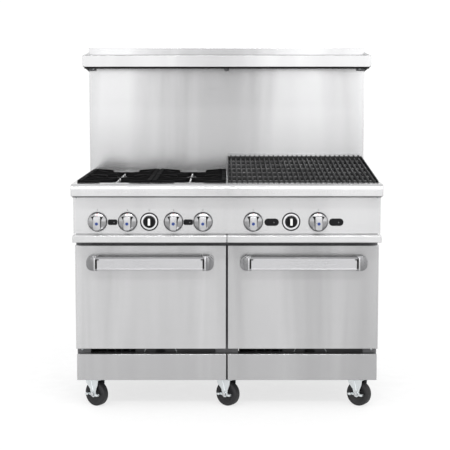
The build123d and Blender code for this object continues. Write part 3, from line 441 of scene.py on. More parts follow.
STAINLESS = BrushedSteel("brushed_stainless", "stainless", (0.5, 0.5, 0.505))
# Lighter copy of the same stainless for the rail, crumb trays, shelf pan and control panel, which
# read brighter than the doors: painted light.
PAINTED_LIGHT_STEEL = BrushedSteel("bright_steel_painted_light", "stainless", (0.55, 0.55, 0.555), painted_band_tone=0.84)
RISER_STEEL = BrushedSteel("riser_steel", "stainless", (0.5, 0.5, 0.505), gloss=0.15, stretch=0.5,
    painted_band_tone=0.8)
STAINLESS_SIDE = BrushedSteel("brushed_stainless_side", "stainless", (0.46, 0.46, 0.465),
    grain=Grain.ALONG_Y)
CAST_HANDLE = Plated("satin_cast_handle", "stainless", (0.22, 0.22, 0.225), gloss=0.24,
    fineness=14.0)
HANDLE_BAND = BrushedSteel("handle_band_steel", "stainless", (0.47, 0.47, 0.48), gloss=0.24,
    wave=0.03, stretch=0.4, painted_band_tone=0.85)
# Much darker copy of the stainless for the sheet under the shelf, standing for the shade beneath
# it: painted shade.
SHELF_SHADE = BrushedSteel("shelf_underside_steel_painted_shade", "stainless", (0.16, 0.16, 0.165), gloss=0.4)
# Knob chrome toned well down so the disc shows dark reflections, beside a lighter copy for the grip
# face: painted reflection.
CHROME = Plated("knob_chrome_painted_dark_reflection", "chrome", (0.3, 0.3, 0.305), gloss=0.2)
GRIP_CHROME = Plated("grip_chrome", "chrome", (0.46, 0.46, 0.47), gloss=0.3)
RACK_CHROME = Plated("rack_chrome", "chrome", (0.75, 0.75, 0.76), gloss=0.16)
BEZEL = Plated("satin_bezel", "chrome", (0.66, 0.66, 0.67), gloss=0.25)
ZINC = Plated("zinc_plating", "zinc", (0.62, 0.65, 0.66), gloss=0.34, fineness=45.0)
BRASS = Plated("valve_brass", "brass", (0.72, 0.55, 0.26), gloss=0.3)
GALVANISED = Galvanised("coated_sheet", "galvanised", (0.5, 0.51, 0.52))
FRAME_SHEET = Galvanised("frame_sheet", "galvanised", (0.14, 0.14, 0.145), gloss=0.5)
IRON = CastIron("seasoned_cast_iron", "cast_iron", (0.004, 0.004, 0.0042), gloss=0.8, shine=0.05)
BROILER_IRON = CastIron("broiler_cast_iron", "cast_iron", (0.018, 0.018, 0.0185), gloss=0.55,
    shine=0.12)
# Iron for the ties, lighter than the bars so the gaps read grey like the lit radiants below:
# painted light.
GAP_GREY_IRON = CastIron("cast_iron_painted_gap_grey", "cast_iron", (0.05, 0.05, 0.051), gloss=0.5, shine=0.1)
# Pale iron for the dots between the broiler bars, standing for light that shows through the gaps:
# painted light.
GAP_LIGHT_IRON = CastIron("cast_iron_painted_gap_light", "cast_iron", (0.07, 0.07, 0.07), gloss=0.5, shine=0.2)
# Darker copy of the stainless for the kick plates, standing for the shade near the floor: painted
# shade.
KICK_SHADED_STEEL = BrushedSteel("kick_plate_steel_painted_shade", "stainless", (0.41, 0.41, 0.415), painted_band_tone=0.75)
VENT_SHEET = Coated("vent_sheet", "baffle_grey", (0.016, 0.016, 0.017), 0.55, (0.03, 0.03, 0.03),
    0.3)
BLACK_STEEL = Coated("burnt_black_steel", "black_steel", (0.012, 0.012, 0.013), 0.5,
    (0.03, 0.028, 0.026), 0.3, 180.0)
BAFFLE = Coated("baffle_grey", "baffle_grey", (0.05, 0.05, 0.053), 0.45, (0.08, 0.08, 0.08), 0.3)
# Flat black for strips, slots, notches and sheets that stand in for shade under overhangs, behind
# gaps and in openings: painted shade.
PAINTED_SHADE_BLACK = Coated("painted_shade_black", "baffle_grey", (0.006, 0.006, 0.006), 0.7, (0.012, 0.012, 0.012), 0.3,
    shine=0.1)
ENAMEL = Coated("speckled_enamel", "enamel", (0.03, 0.034, 0.045), 0.18, (0.5, 0.52, 0.55), 0.08,
    260.0, 0.00008)
PIPE = Coated("black_pipe", "black_pipe", (0.03, 0.03, 0.03), 0.5, (0.08, 0.07, 0.06), 0.3)
DIAL = Coated("dial_plastic", "black_plastic", (0.005, 0.005, 0.006), 0.35, (0.012, 0.012, 0.012),
    0.1, 900.0, 0.00004, shine=0.12)
PRINT = Coated("white_print", "black_plastic", (0.6, 0.6, 0.59), 0.4, (0.5, 0.5, 0.5), 0.1, 500.0,
    0.00003)
RED_MARK = Coated("red_mark", "chrome", (0.6, 0.03, 0.02), 0.4, (0.4, 0.02, 0.02), 0.2, 500.0,
    0.00003)
BLUE_DOT = Coated("blue_dot", "chrome", (0.012, 0.03, 0.13), 0.35, (0.02, 0.05, 0.2), 0.2, 500.0,
    0.00003)
RUBBER = Coated("wheel_rubber", "rubber", (0.008, 0.008, 0.009), 0.5, (0.03, 0.03, 0.03), 0.15,
    240.0, 0.0002)
FLOOR = Coated("studio_floor", "stage", (0.2, 0.2, 0.2), 0.7, (0.19, 0.19, 0.19), 0.1, 40.0, 0.0001,
    glow=0.72)


# ------------------------------------------------------------------ shapes
class Shape:
    """A mesh in the making: each call adds one closed part to it."""

    def __init__(self) -> None:
        """Start empty."""
        self.bm = bmesh.new()

    def rounded(self, edges: Iterable[bmesh.types.BMEdge], radius: float, steps: int) -> None:
        """Round edges, where a radius is given."""
        if radius > 0:
            bmesh.ops.bevel(
                self.bm, geom=list(edges), offset=radius, offset_type="OFFSET", segments=steps,
                profile=0.5,
                affect="EDGES", material=-1, clamp_overlap=True)

    def box(self, x: Span, y: Span, z: Span, radius: float = 0.0008,
            steps: int = 2) -> list[bmesh.types.BMVert]:
        """Add a box with rounded edges.

        Args:
            x: low and high X.
            y: low and high Y.
            z: low and high Z.
            radius: edge radius.
            steps: segments around each edge.

        Returns:
            The corners, before they are rounded.
        """
        centre = Vector((sum(x) / 2, sum(y) / 2, sum(z) / 2))
        size = (x[1] - x[0], y[1] - y[0], z[1] - z[0], 1.0)
        made = bmesh.ops.create_cube(self.bm, size=1.0,
            matrix=Matrix.Translation(centre) @ Matrix.Diagonal(size))
        edges = {edge for vert in made["verts"] for edge in vert.link_edges}
        self.rounded(edges, radius, steps)
        return made["verts"]

    def slab(self, outline: Sequence[Point], axis: Axis, along: Span, radius: float = 0.0008,
            steps: int = 2) -> None:
        """Extrude an outline along an axis and round the rims of its ends.

        Args:
            outline: points in the other two axes, in X, Y, Z order.
            axis: the axis that it is extruded along.
            along: low and high place on that axis.
            radius: radius of the two rims.
            steps: segments around the rims.
        """
        others = [i for i in range(3) if i != axis.value]
        verts = []
        for point in outline:
            place = [0.0, 0.0, 0.0]
            place[axis.value] = along[0]
            place[others[0]], place[others[1]] = point
            verts.append(self.bm.verts.new(place))
        face = self.bm.faces.new(verts)
        grown = bmesh.ops.extrude_face_region(self.bm, geom=[face], use_keep_orig=True)["geom"]
        shift = Vector((0, 0, 0))
        shift[axis.value] = along[1] - along[0]
        far = [item for item in grown if isinstance(item, bmesh.types.BMVert)]
        bmesh.ops.translate(self.bm, verts=far, vec=shift)
        ring = set(verts)
        edges = [edge for edge in self.bm.edges if edge.verts[0] in ring and edge.verts[1] in ring]
        rim = set(far)
        edges += [edge for edge in self.bm.edges if edge.verts[0] in rim and edge.verts[1] in rim]
        self.rounded(edges, radius, steps)

    def turned(self, profile: Sequence[Point], centre: Vector, axis: Axis = Axis.Y,
            steps: int = 40) -> None:
        """Spin a profile of (radius, height) points about an axis through a centre.

        Args:
            profile: points from one pole to the other; a radius of 0 closes a pole.
            centre: place of height 0.
            axis: the axis, where height runs to lower Y on Y and to higher values on X and Z.
            steps: segments around.
        """
        before = set(self.bm.verts)
        up = {Axis.X: Vector((1, 0, 0)), Axis.Y: Vector((0, -1, 0)),
            Axis.Z: Vector((0, 0, 1))}[axis]
        out = Vector((0, 0, 1)) if axis is not Axis.Z else Vector((1, 0, 0))
        verts = [self.bm.verts.new(centre + out * radius + up * height) for radius,
            height in profile]
        edges = [self.bm.edges.new(pair) for pair in zip(verts, verts[1:])]
        bmesh.ops.spin(
            self.bm, geom=verts + edges, cent=centre, axis=up, angle=math.tau, steps=steps,
            use_merge=True)
        fresh = [vert for vert in self.bm.verts if vert not in before]
        bmesh.ops.remove_doubles(self.bm, verts=fresh, dist=1e-6)

    def bar(self, start: Vector, end: Vector, radius: float, steps: int = 16) -> None:
        """Add a round bar between two points."""
        run = end - start
        turn = run.to_track_quat("Z", "Y").to_matrix().to_4x4()
        place = Matrix.Translation((start + end) / 2) @ turn
        bmesh.ops.create_cone(
            self.bm, cap_ends=True, segments=steps, radius1=radius, radius2=radius,
            depth=run.length, matrix=place)

    def turn_about(self, matrix: Matrix) -> "Shape":
        """Move the whole shape by a matrix."""
        bmesh.ops.transform(self.bm, matrix=matrix, verts=self.bm.verts)
        return self

    def piece(
        self, name: str, finish: Finish, body: str, stands_for: Sequence[str] = (),
        crease: float = 32.0
    ) -> bpy.types.Object:
        """Finish the mesh as an object that rides on a body.

        Args:
            name: the piece's name.
            finish: its finish.
            body: the body that it moves with.
            stands_for: CAD nodes that it is shown in place of.
            crease: edges sharper than this many degrees stay sharp.

        Returns:
            The object, at the origin.
        """
        bmesh.ops.recalc_face_normals(self.bm, faces=self.bm.faces)
        limit = math.radians(crease)
        for face in self.bm.faces:
            face.smooth = face.calc_area() < WIDE_FACE
        for edge in self.bm.edges:
            edge.smooth = edge.calc_face_angle(math.pi) < limit
        mesh = bpy.data.meshes.new(name)
        self.bm.to_mesh(mesh)
        self.bm.free()
        piece = bpy.data.objects.new(name, mesh)
        bpy.context.scene.collection.objects.link(piece)
        mesh.materials.append(finish.make())
        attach(piece, body)
        if stands_for:
            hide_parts(*stands_for)
        LOG.info("%s: %d faces on %s", name, len(mesh.polygons), body)
        return piece


WIDE_FACE = 0.0012


def inset(low: float, high: float, margin: float) -> Span:
    """A span drawn in by a margin at both ends."""
    return low + margin, high - margin


def about(middle: float, half: float) -> Span:
    """A span to both sides of a middle."""
    return middle - half, middle + half


def arc(centre: Point, radius: float, start: float, end: float, steps: int = 6) -> list[Point]:
    """Points on an arc, with the angles in degrees."""
    angles = [math.radians(start + (end - start) * step / steps) for step in range(steps + 1)]
    return [(centre[0] + radius * math.cos(a), centre[1] + radius * math.sin(a)) for a in angles]


def rounded_outline(x: Span, z: Span, radii: tuple[float, float, float, float],
        steps: int = 6) -> list[Point]:
    """A rectangle with its own radius at each corner.

    Args:
        x: low and high of the first axis.
        z: low and high of the second axis.
        radii: corner radii: low-low, high-low, high-high and low-high.
        steps: segments in each corner.

    Returns:
        The outline's points, counter-clockwise.
    """
    a, b, c, d = radii
    points = arc((x[0] + a, z[0] + a), a, 180, 270, steps) + arc((x[1] - b, z[0] + b), b, 270, 360,
        steps)
    return points + arc((x[1] - c, z[1] - c), c, 0, 90, steps) + arc((x[0] + d, z[1] - d), d, 90,
        180, steps)


def dressed(finish: Finish, *nodes: str) -> None:
    """Give CAD nodes a finish.

    Args:
        finish: the finish.
        *nodes: names of the nodes.
    """
    for node in nodes:
        shown = frame["nodes"][node]
        for slot in shown.material_slots:
            slot.material = finish.make()
        LOG.info("%s: %s", node, finish.name)


# ------------------------------------------------------------------ shared sizes
# Profiles are pairs of radius and height over the face that a turned piece stands on.
SCREW_HEAD = ((0.0, 0.0022), (0.0022, 0.0019), (0.0038, 0.0008), (0.0042, 0.0), (0.0, 0.0))
DOOR_SCREW = ((0.0, -0.0018), (0.003, -0.0014), (0.0042, 0.0), (0.0, 0.0))
RIVET_HEAD = ((0.0, 0.0022), (0.0025, 0.0018), (0.004, 0.0006), (0.004, 0.0), (0.0, 0.0))
PILOT_TUBE = ((0.0, 0.0008), (0.002, 0.0006), (0.0026, 0.0), (0.0026, -0.002), (0.0, -0.002))
SHUTTER_RING = ((0.017, 0.0), (0.017, 0.003), (0.0185, 0.003), (0.0185, 0.0), (0.017, 0.0))
BURNER_CAP = (
    (0.0, 0.0135), (0.020, 0.0132), (0.034, 0.0105), (0.037, 0.007), (0.035, 0.004), (0.0, 0.003))
PORTS = 24
# Share of the grip's depth, and its width there as a share of the full width.
GRIP_WAIST = ((0.0, 1.0), (0.12, 0.98), (0.4, 0.84), (0.75, 0.82), (1.0, 0.95))
# Place across the body as a share of half its width, then width and height of the slot.
SIGHT_SLOTS = (
    (-0.744, 0.037, 0.022), (-0.2515, 0.037, 0.022), (0.291, 0.057, 0.029), (0.711, 0.057, 0.029))
# Air slot under each oven, from the left end of the oven unit.
SHUTTER_OFFSETS = (0.135, 0.195)
NOTCH_OFFSET = 0.336
NOTCH_RADIUS = 0.019
VENT_RIM = ((0.066, 0.002), (0.060, 0.012), (0.057, 0.018))
# Louvres of the back panel.
LOUVRE_COLUMNS = (-0.36, 0.0, 0.36)
LOUVRE_ROWS = 6
LOUVRE_START = 0.52
LOUVRE_PITCH = 0.035
# Casters: profiles about the swivel axis and the axle.
SWIVEL_RACE = (
    (0.0, 0.112), (0.024, 0.112), (0.029, 0.1135), (0.030, 0.1155), (0.0285, 0.1165),
    (0.030, 0.1178), (0.029, 0.1196), (0.0, 0.1196))
AXLE_HEAD = (
    (0.0, 0.0312), (0.006, 0.0312), (0.0083, 0.0300), (0.0083, 0.0266), (0.0, 0.0266))
AXLE_NUT = (
    (0.0, -0.0232), (0.0083, -0.0232), (0.0083, -0.0275), (0.0045, -0.0280), (0.0, -0.0280))
WHEEL_FLANK = (
    (0.0051, 0.019), (0.0125, 0.019), (0.014, 0.0175), (0.0145, 0.013), (0.030, 0.0125),
    (0.033, 0.0148), (0.040, 0.0158), (0.0458, 0.016), (0.0488, 0.0148), (0.0503, 0.0118))
BRAKE_RING = (
    (0.0052, 0.0234), (0.0099, 0.0234), (0.0099, 0.0259), (0.0052, 0.0259), (0.0052, 0.0234))
CASTERS = tuple(
    "%s_%s" % (row, column) for row in ("front", "rear") for column in ("left", "centre", "right"))
# Open grates: places of the straight fingers and number of bits of each bright rail.
FINGER_SHARES = (-0.25, 0.0, 0.25)
RAIL_BITS = 7


# ------------------------------------------------------------------ sub-assemblies
@dataclass
class Sheetwork:
    """Folded stainless sheets of the body: rail, kick plates, riser and shelf."""

    edge: float = 0.0012
    nose: float = 0.020
    lip_drop: float = 0.018
    lip_height: float = 0.048
    wedge: float = 0.020
    oven_unit: float = 0.608
    body: str = "range_body"

    def build(self) -> None:
        """Make every sheet and dress the CAD sheets that stay."""
        self.rail()
        self.kick_plates()
        self.riser()
        self.shelf()
        self.baffles()
        self.back()
        dressed(PAINTED_LIGHT_STEEL, "control_panel")
        dressed(STAINLESS, "cooktop_frame")
        dressed(STAINLESS_SIDE, "side_panels")
        dressed(GALVANISED, "back_panel")
        dressed(FRAME_SHEET, "base_frame", "chassis_frame")

    def rail(self) -> None:
        """Bullnose rail with a soft lower edge and closed ends, over a black strip that paints the
        rail's shadow on the panel.
        """
        low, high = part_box("front_rail")
        y, z = (low.y, high.y), (low.z, high.z)
        outline = [(y[1], z[1])] + arc((y[0] + self.nose, z[1] - self.nose), self.nose, 90, 180, 12)
        foot, depth, step = 0.004, 0.064, 0.009
        outline += arc((y[0] + foot, z[0] + foot), foot, 180, 270, 4)
        outline += [(y[0] + depth, z[0]), (y[0] + depth, z[0] + step), (y[1], z[0] + step)]
        shape = Shape()
        shape.slab(outline, Axis.X, (low.x, high.x), 0.003, 4)
        shape.piece("bullnose_rail", PAINTED_LIGHT_STEEL, self.body, ("front_rail",))
        # Black strip under the rail's lower edge: painted shadow of the rail on the control panel.
        shadow_strip = Shape()
        shadow_strip.box(inset(low.x, high.x, 0.006), (y[0] + 0.005, y[0] + 0.05),
            (z[0] - 0.0035, z[0] + 0.001), 0.0008)
        shadow_strip.piece("rail_painted_shadow_strip", PAINTED_SHADE_BLACK, self.body)

    def kick_plates(self) -> None:
        """Two folded kick plates and the dark strip behind their joint."""
        low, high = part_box("kick_plates")
        gap = 0.003
        for name, x in zip(SIDES, ((low.x, -gap), (gap, high.x))):
            shape = Shape()
            shape.box(x, (low.y, low.y + 0.004), (low.z, high.z), 0.0018, 3)
            shape.box((x[0] + 0.001, x[1] - 0.001), (low.y + 0.003, high.y),
                (high.z - 0.0025, high.z - 0.0005))
            nodes = ("kick_plates",) if name == "left" else ()
            shape.piece("kick_plate_" + name, KICK_SHADED_STEEL, self.body, nodes)
        strip = Shape()
        strip.box((-0.012, 0.012), (low.y + 0.0045, low.y + 0.007), (low.z + 0.001, high.z - 0.003),
            0.0008)
        strip.piece("kick_plate_joint_strip", PAINTED_SHADE_BLACK, self.body)

    def riser(self) -> None:
        """Flue riser: front sheet, folded sides, top flange and back sheet."""
        low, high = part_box("riser_panels")
        wall = 0.002
        front = Shape()
        front.box((low.x, high.x), (low.y, low.y + wall), (low.z, high.z), self.edge, 3)
        for x in ((low.x, low.x + wall), (high.x - wall, high.x)):
            front.box(x, (low.y + wall * 0.5, high.y), (low.z, high.z), 0.0008)
        front.box(inset(low.x, high.x, wall), (low.y + wall, low.y + 0.018),
            (high.z - wall, high.z), 0.0006)
        front.piece("riser_front_sheet", RISER_STEEL, self.body, ("riser_panels",))
        back = Shape()
        top = high.z - 0.04
        back.box(inset(low.x, high.x, wall), (high.y - wall, high.y), (low.z, top), 0.0006)
        for step in range(3):
            x = low.x + (high.x - low.x) * (step + 1) / 4
            back.box(about(x, 0.01), inset(low.y, high.y, wall), (top - 0.03, top - 0.028), 0.0004)
        back.piece("riser_back_sheet", GALVANISED, self.body)

    def shelf(self) -> None:
        """High shelf: rounded lip, flat top, wedge ends, dark brackets, a darker underside sheet as
        painted shade, and black strips under the lip and along its top as painted shadow.
        """
        low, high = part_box("high_shelf")
        lip = (high.z - self.lip_drop - self.lip_height, high.z - self.lip_drop)
        shape = Shape()
        front = rounded_outline((low.x, high.x), lip, (0.010, 0.010, 0.008, 0.008))
        shape.slab(front, Axis.Y, (low.y, low.y + 0.003), 0.0012, 3)
        shape.box(inset(low.x, high.x, 0.002), (low.y + 0.002, high.y),
            (lip[1] - 0.002, lip[1] - 0.0003), 0.0004)
        shape.box(inset(low.x, high.x, 0.01), (low.y + 0.002, low.y + 0.014),
            (lip[0] + 0.0003, lip[0] + 0.0018), 0.0004)
        drop = lip[0] - self.wedge
        end = [(low.y + 0.003, lip[0] + 0.010), (low.y + 0.012, lip[0] + 0.001), (high.y, drop),
            (high.y, high.z)]
        end += [(low.y + 0.010, lip[1]), (low.y + 0.003, lip[1] - 0.007)]
        for x in ((low.x + 0.0002, low.x + 0.002), (high.x - 0.002, high.x - 0.0002)):
            shape.slab(end, Axis.X, x, 0.0005)
        shape.piece("high_shelf_pan", PAINTED_LIGHT_STEEL, self.body, ("high_shelf",))
        # Darker sheet under the shelf top: painted shade.
        under = Shape()
        under.box(inset(low.x, high.x, 0.004), (low.y + 0.016, high.y - 0.0005),
            (lip[1] - 0.0040, lip[1] - 0.0022), 0.0004)
        under.piece("shelf_underside", SHELF_SHADE, self.body)
        blocks = Shape()
        places = [(low.x + 0.002, low.x + 0.030), (-0.010, 0.010), (high.x - 0.034, high.x - 0.006)]
        for x in places:
            blocks.box(x, (high.y - 0.040, high.y), (drop + 0.004, drop + 0.024), 0.003, 3)
        blocks.piece("shelf_brackets", BAFFLE, self.body)
        # Black strips hanging under the lip and along its top edge: painted shadow where the lip
        # meets the underside and the riser.
        shadow_strips = Shape()
        shadow_strips.box(inset(low.x, high.x, 0.008), (low.y + 0.005, low.y + 0.011),
            (lip[0] - 0.008, lip[0] + 0.001), 0.0006)
        shadow_strips.box(inset(low.x, high.x, 0.010), (low.y + 0.004, low.y + 0.009),
            (lip[1] - 0.001, lip[1] + 0.0018), 0.0006)
        shadow_strips.piece("shelf_painted_shadow_strips", PAINTED_SHADE_BLACK, self.body)

    def baffles(self) -> None:
        """What shows in the air slot: shutter rings, notches, their rims and heat shields."""
        low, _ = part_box("vent_baffles")
        dressed(VENT_SHEET, "vent_baffles")
        shape = Shape()
        starts = (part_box("kick_plates")[0].x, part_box("kick_plates")[0].x + self.oven_unit)
        for start in starts:
            for offset in SHUTTER_OFFSETS:
                centre = Vector((start + offset, low.y + 0.012, low.z + 0.001))
                shape.turned(SHUTTER_RING, centre)
        shape.piece("shutter_rings", FRAME_SHEET, self.body)
        notches, rims = Shape(), Shape()
        for start in starts:
            centre = (start + NOTCH_OFFSET, low.z + 0.0012)
            left, right = about(centre[0], NOTCH_RADIUS)
            outline = [(right, centre[1])] + arc(centre, NOTCH_RADIUS, 10, 170, 14)
            outline += [(left, centre[1])]
            notches.slab(outline, Axis.Y, about(low.y, 0.001), 0.0003)
            for side in (-1, 1):
                points = [Vector((centre[0] + side * reach, low.y - 0.001, low.z + rise))
                          for reach, rise in VENT_RIM]
                for one, two in zip(points, points[1:]):
                    rims.bar(one, two, 0.0007, 8)
        notches.piece("vent_notches", PAINTED_SHADE_BLACK, self.body)
        rims.piece("vent_rims", ZINC, self.body)
        base, frame_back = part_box("base_frame"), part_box("back_panel")[0].y
        shield = Shape()
        for x in ((base[0].x + 0.001, -0.0515), (0.0515, base[1].x - 0.001)):
            shield.box(x, (base[0].y + 0.04, frame_back - 0.001),
                (base[1].z + 0.0105, base[1].z + 0.012), 0.0004)
            shield.box(x, (base[0].y + 0.16, base[0].y + 0.162),
                (base[1].z + 0.0125, base[1].z + 0.095), 0.0004)
        shield.piece("heat_shields", PAINTED_SHADE_BLACK, self.body)

    def back(self) -> None:
        """Louvre hoods and rivets on the back panel."""
        low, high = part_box("back_panel")
        shape = Shape()
        for column in LOUVRE_COLUMNS:
            for row in range(LOUVRE_ROWS):
                z = LOUVRE_START + row * LOUVRE_PITCH
                hood = [(high.y, z), (high.y + 0.006, z), (high.y + 0.0055, z + 0.003),
                    (high.y, z + 0.016)]
                shape.slab(hood, Axis.X, about(column, 0.09), 0.0008)
        shape.piece("back_louvres", GALVANISED, self.body)
        rivets = Shape()
        for x in (low.x + 0.012, low.x * 0.5, 0.0, high.x * 0.5, high.x - 0.012):
            for z in (low.z + 0.02, (low.z + high.z) / 2 - 0.1, high.z - 0.02):
                centre = Vector((x, high.y, z))
                rivets.turned([(radius, -height) for radius, height in RIVET_HEAD], centre,
                    steps=16)
        rivets.piece("back_rivets", ZINC, self.body)


def sided(outer: int, large: float, small: float) -> tuple[float, float, float, float]:
    """Corner radii of a cast end: large on its outer side, small on its inner side.

    Args:
        outer: -1 where the outer side is to the left, 1 where it is to the right.
        large: radius of the two outer corners.
        small: radius of the two inner corners.

    Returns:
        The radii, counter-clockwise from the lower left.
    """
    return (large, small, small, large) if outer < 0 else (small, large, large, small)


@dataclass
class OvenDoor:
    """One drop-down door: bevelled skin, inner pan, embossed panel, handle."""

    side: str
    edge: float = 0.0022
    bracket: float = 0.046

    @property
    def body(self) -> str:
        """The body that the door's pieces ride on."""
        return "oven_door_" + self.side

    def build(self) -> None:
        """Make the skin, the inner side and the handle."""
        self.skin()
        self.inside()
        self.handle()

    def skin(self) -> None:
        """Front slab with rounded edges and the folded rims behind it."""
        low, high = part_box("door_skin_" + self.side)
        shape = Shape()
        shape.box((low.x, high.x), (low.y, low.y + 0.010), (low.z, high.z), self.edge, 4)
        rim = (low.y + 0.008, high.y)
        wall = 0.0016
        for x in ((low.x, low.x + wall), (high.x - wall, high.x)):
            shape.box(x, rim, (low.z + 0.026, high.z), 0.0005)
        shape.box((low.x, high.x), rim, (high.z - wall, high.z), 0.0005)
        shape.box(inset(low.x, high.x, 0.02), rim, (low.z, low.z + wall), 0.0005)
        shape.piece("door_skin_sheet_" + self.side, STAINLESS, self.body,
            ("door_skin_" + self.side,))

    def inside(self) -> None:
        """Inner pan, its embossed panel and its screws."""
        dressed(GALVANISED, "door_liner_" + self.side)
        low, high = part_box("door_liner_" + self.side)
        shape = Shape()
        x, z = inset(low.x, high.x, 0.05), (low.z + 0.05, high.z - 0.035)
        outline = rounded_outline(x, z, (0.02, 0.02, 0.02, 0.02))
        shape.slab(outline, Axis.Y, (high.y - 0.001, high.y + 0.003), 0.002, 3)
        shape.piece("door_inner_panel_" + self.side, GALVANISED, self.body)
        screws = Shape()
        for x in (low.x + 0.02, (low.x + high.x) / 2, high.x - 0.02):
            for z in (low.z + 0.04, high.z - 0.015):
                screws.turned(DOOR_SCREW, Vector((x, high.y, z)), steps=16)
        screws.piece("door_screws_" + self.side, ZINC, self.body)

    def handle(self) -> None:
        """Flat band between two cast brackets with rounded outer ends."""
        low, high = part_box("door_handle_" + self.side)
        self.band(low, high)
        self.brackets(low, high)

    def band(self, low: Vector, high: Vector) -> None:
        """The bar: a bright bevelled top edge, a flat face and a lower lip."""
        y, z = low.y + 0.004, (low.z + 0.004, high.z - 0.003)
        outline = [(y, z[0] + 0.006), (y, z[1] - 0.0075), (y + 0.005, z[1] - 0.0015),
            (y + 0.008, z[1])]
        outline += [(y + 0.010, z[1]), (y + 0.010, z[0]), (y + 0.004, z[0]),
            (y - 0.002, z[0] + 0.003)]
        shape = Shape()
        shape.slab(outline, Axis.X, (low.x + self.bracket - 0.006, high.x - self.bracket + 0.006),
            0.0006)
        shape.piece("handle_band_" + self.side, HANDLE_BAND, self.body,
            ("door_handle_" + self.side,))

    def brackets(self, low: Vector, high: Vector) -> None:
        """Cast ends, their bright front ribs and the dark slots beside the band."""
        ends = Shape()
        ribs = Shape()
        slots = Shape()
        width = self.bracket
        for start, outer in ((low.x, -1), (high.x - width, 1)):
            x = (start, start + width)
            round_side, tight = 0.024, 0.005
            radii = sided(outer, round_side, tight)
            ends.slab(rounded_outline(x, (low.z, high.z), radii, 8), Axis.Y,
                (low.y + 0.012, high.y), 0.004, 4)
            inner = x[1] if outer < 0 else x[0]
            face = tuple(sorted((inner + outer * 0.032, inner + outer * 0.002)))
            radii = sided(outer, 0.012, 0.004)
            face_outline = rounded_outline(face, inset(low.z, high.z, 0.003), radii, 5)
            ends.slab(face_outline, Axis.Y, (low.y + 0.003, low.y + 0.016), 0.003, 3)
            rib = tuple(sorted((inner + outer * 0.0155, inner + outer * 0.0095)))
            ribs.box(rib, (low.y, low.y + 0.006), (low.z + 0.003, high.z - 0.006), 0.0012, 3)
            slot = tuple(sorted((inner + outer * 0.0094, inner + outer * 0.0025)))
            slots.box(slot, (low.y + 0.0008, low.y + 0.005), (low.z + 0.010, high.z - 0.014),
                0.0008)
            slot = tuple(sorted((inner + outer * 0.0094, inner - outer * 0.005)))
            slots.box(slot, (low.y + 0.0008, low.y + 0.005), (high.z - 0.0165, high.z - 0.0125),
                0.0008)
        ends.piece("handle_brackets_" + self.side, CAST_HANDLE, self.body)
        ribs.piece("handle_ribs_" + self.side, HANDLE_BAND, self.body)
        slots.piece("handle_slots_" + self.side, PAINTED_SHADE_BLACK, self.body)


@dataclass
class CrumbTray:
    """One crumb tray: folded front strip and a shallow pan."""

    side: str

    def build(self) -> None:
        """Make the strip and the pan as one sheet piece."""
        low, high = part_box("crumb_tray_" + self.side)
        strip_back = low.y + 0.052
        floor = low.z
        shape = Shape()
        shape.box((low.x, high.x), (low.y, strip_back), (low.z + 0.0035, high.z), 0.0025, 4)
        near, far = (0.009, 0.007) if self.side == "left" else (0.007, 0.009)
        x = (low.x + near, high.x - far)
        y = (strip_back - 0.002, high.y)
        wall, top = 0.0015, high.z - 0.005
        shape.box(x, y, (floor, floor + wall), 0.0004)
        for side in ((x[0], x[0] + wall), (x[1] - wall, x[1])):
            shape.box(side, y, (floor, top), 0.0004)
        for end in ((y[0], y[0] + wall), (y[1] - wall, y[1])):
            shape.box(x, end, (floor, top), 0.0004)
        node = "crumb_tray_" + self.side
        shape.piece("crumb_tray_sheet_" + self.side, PAINTED_LIGHT_STEEL, node, (node,))


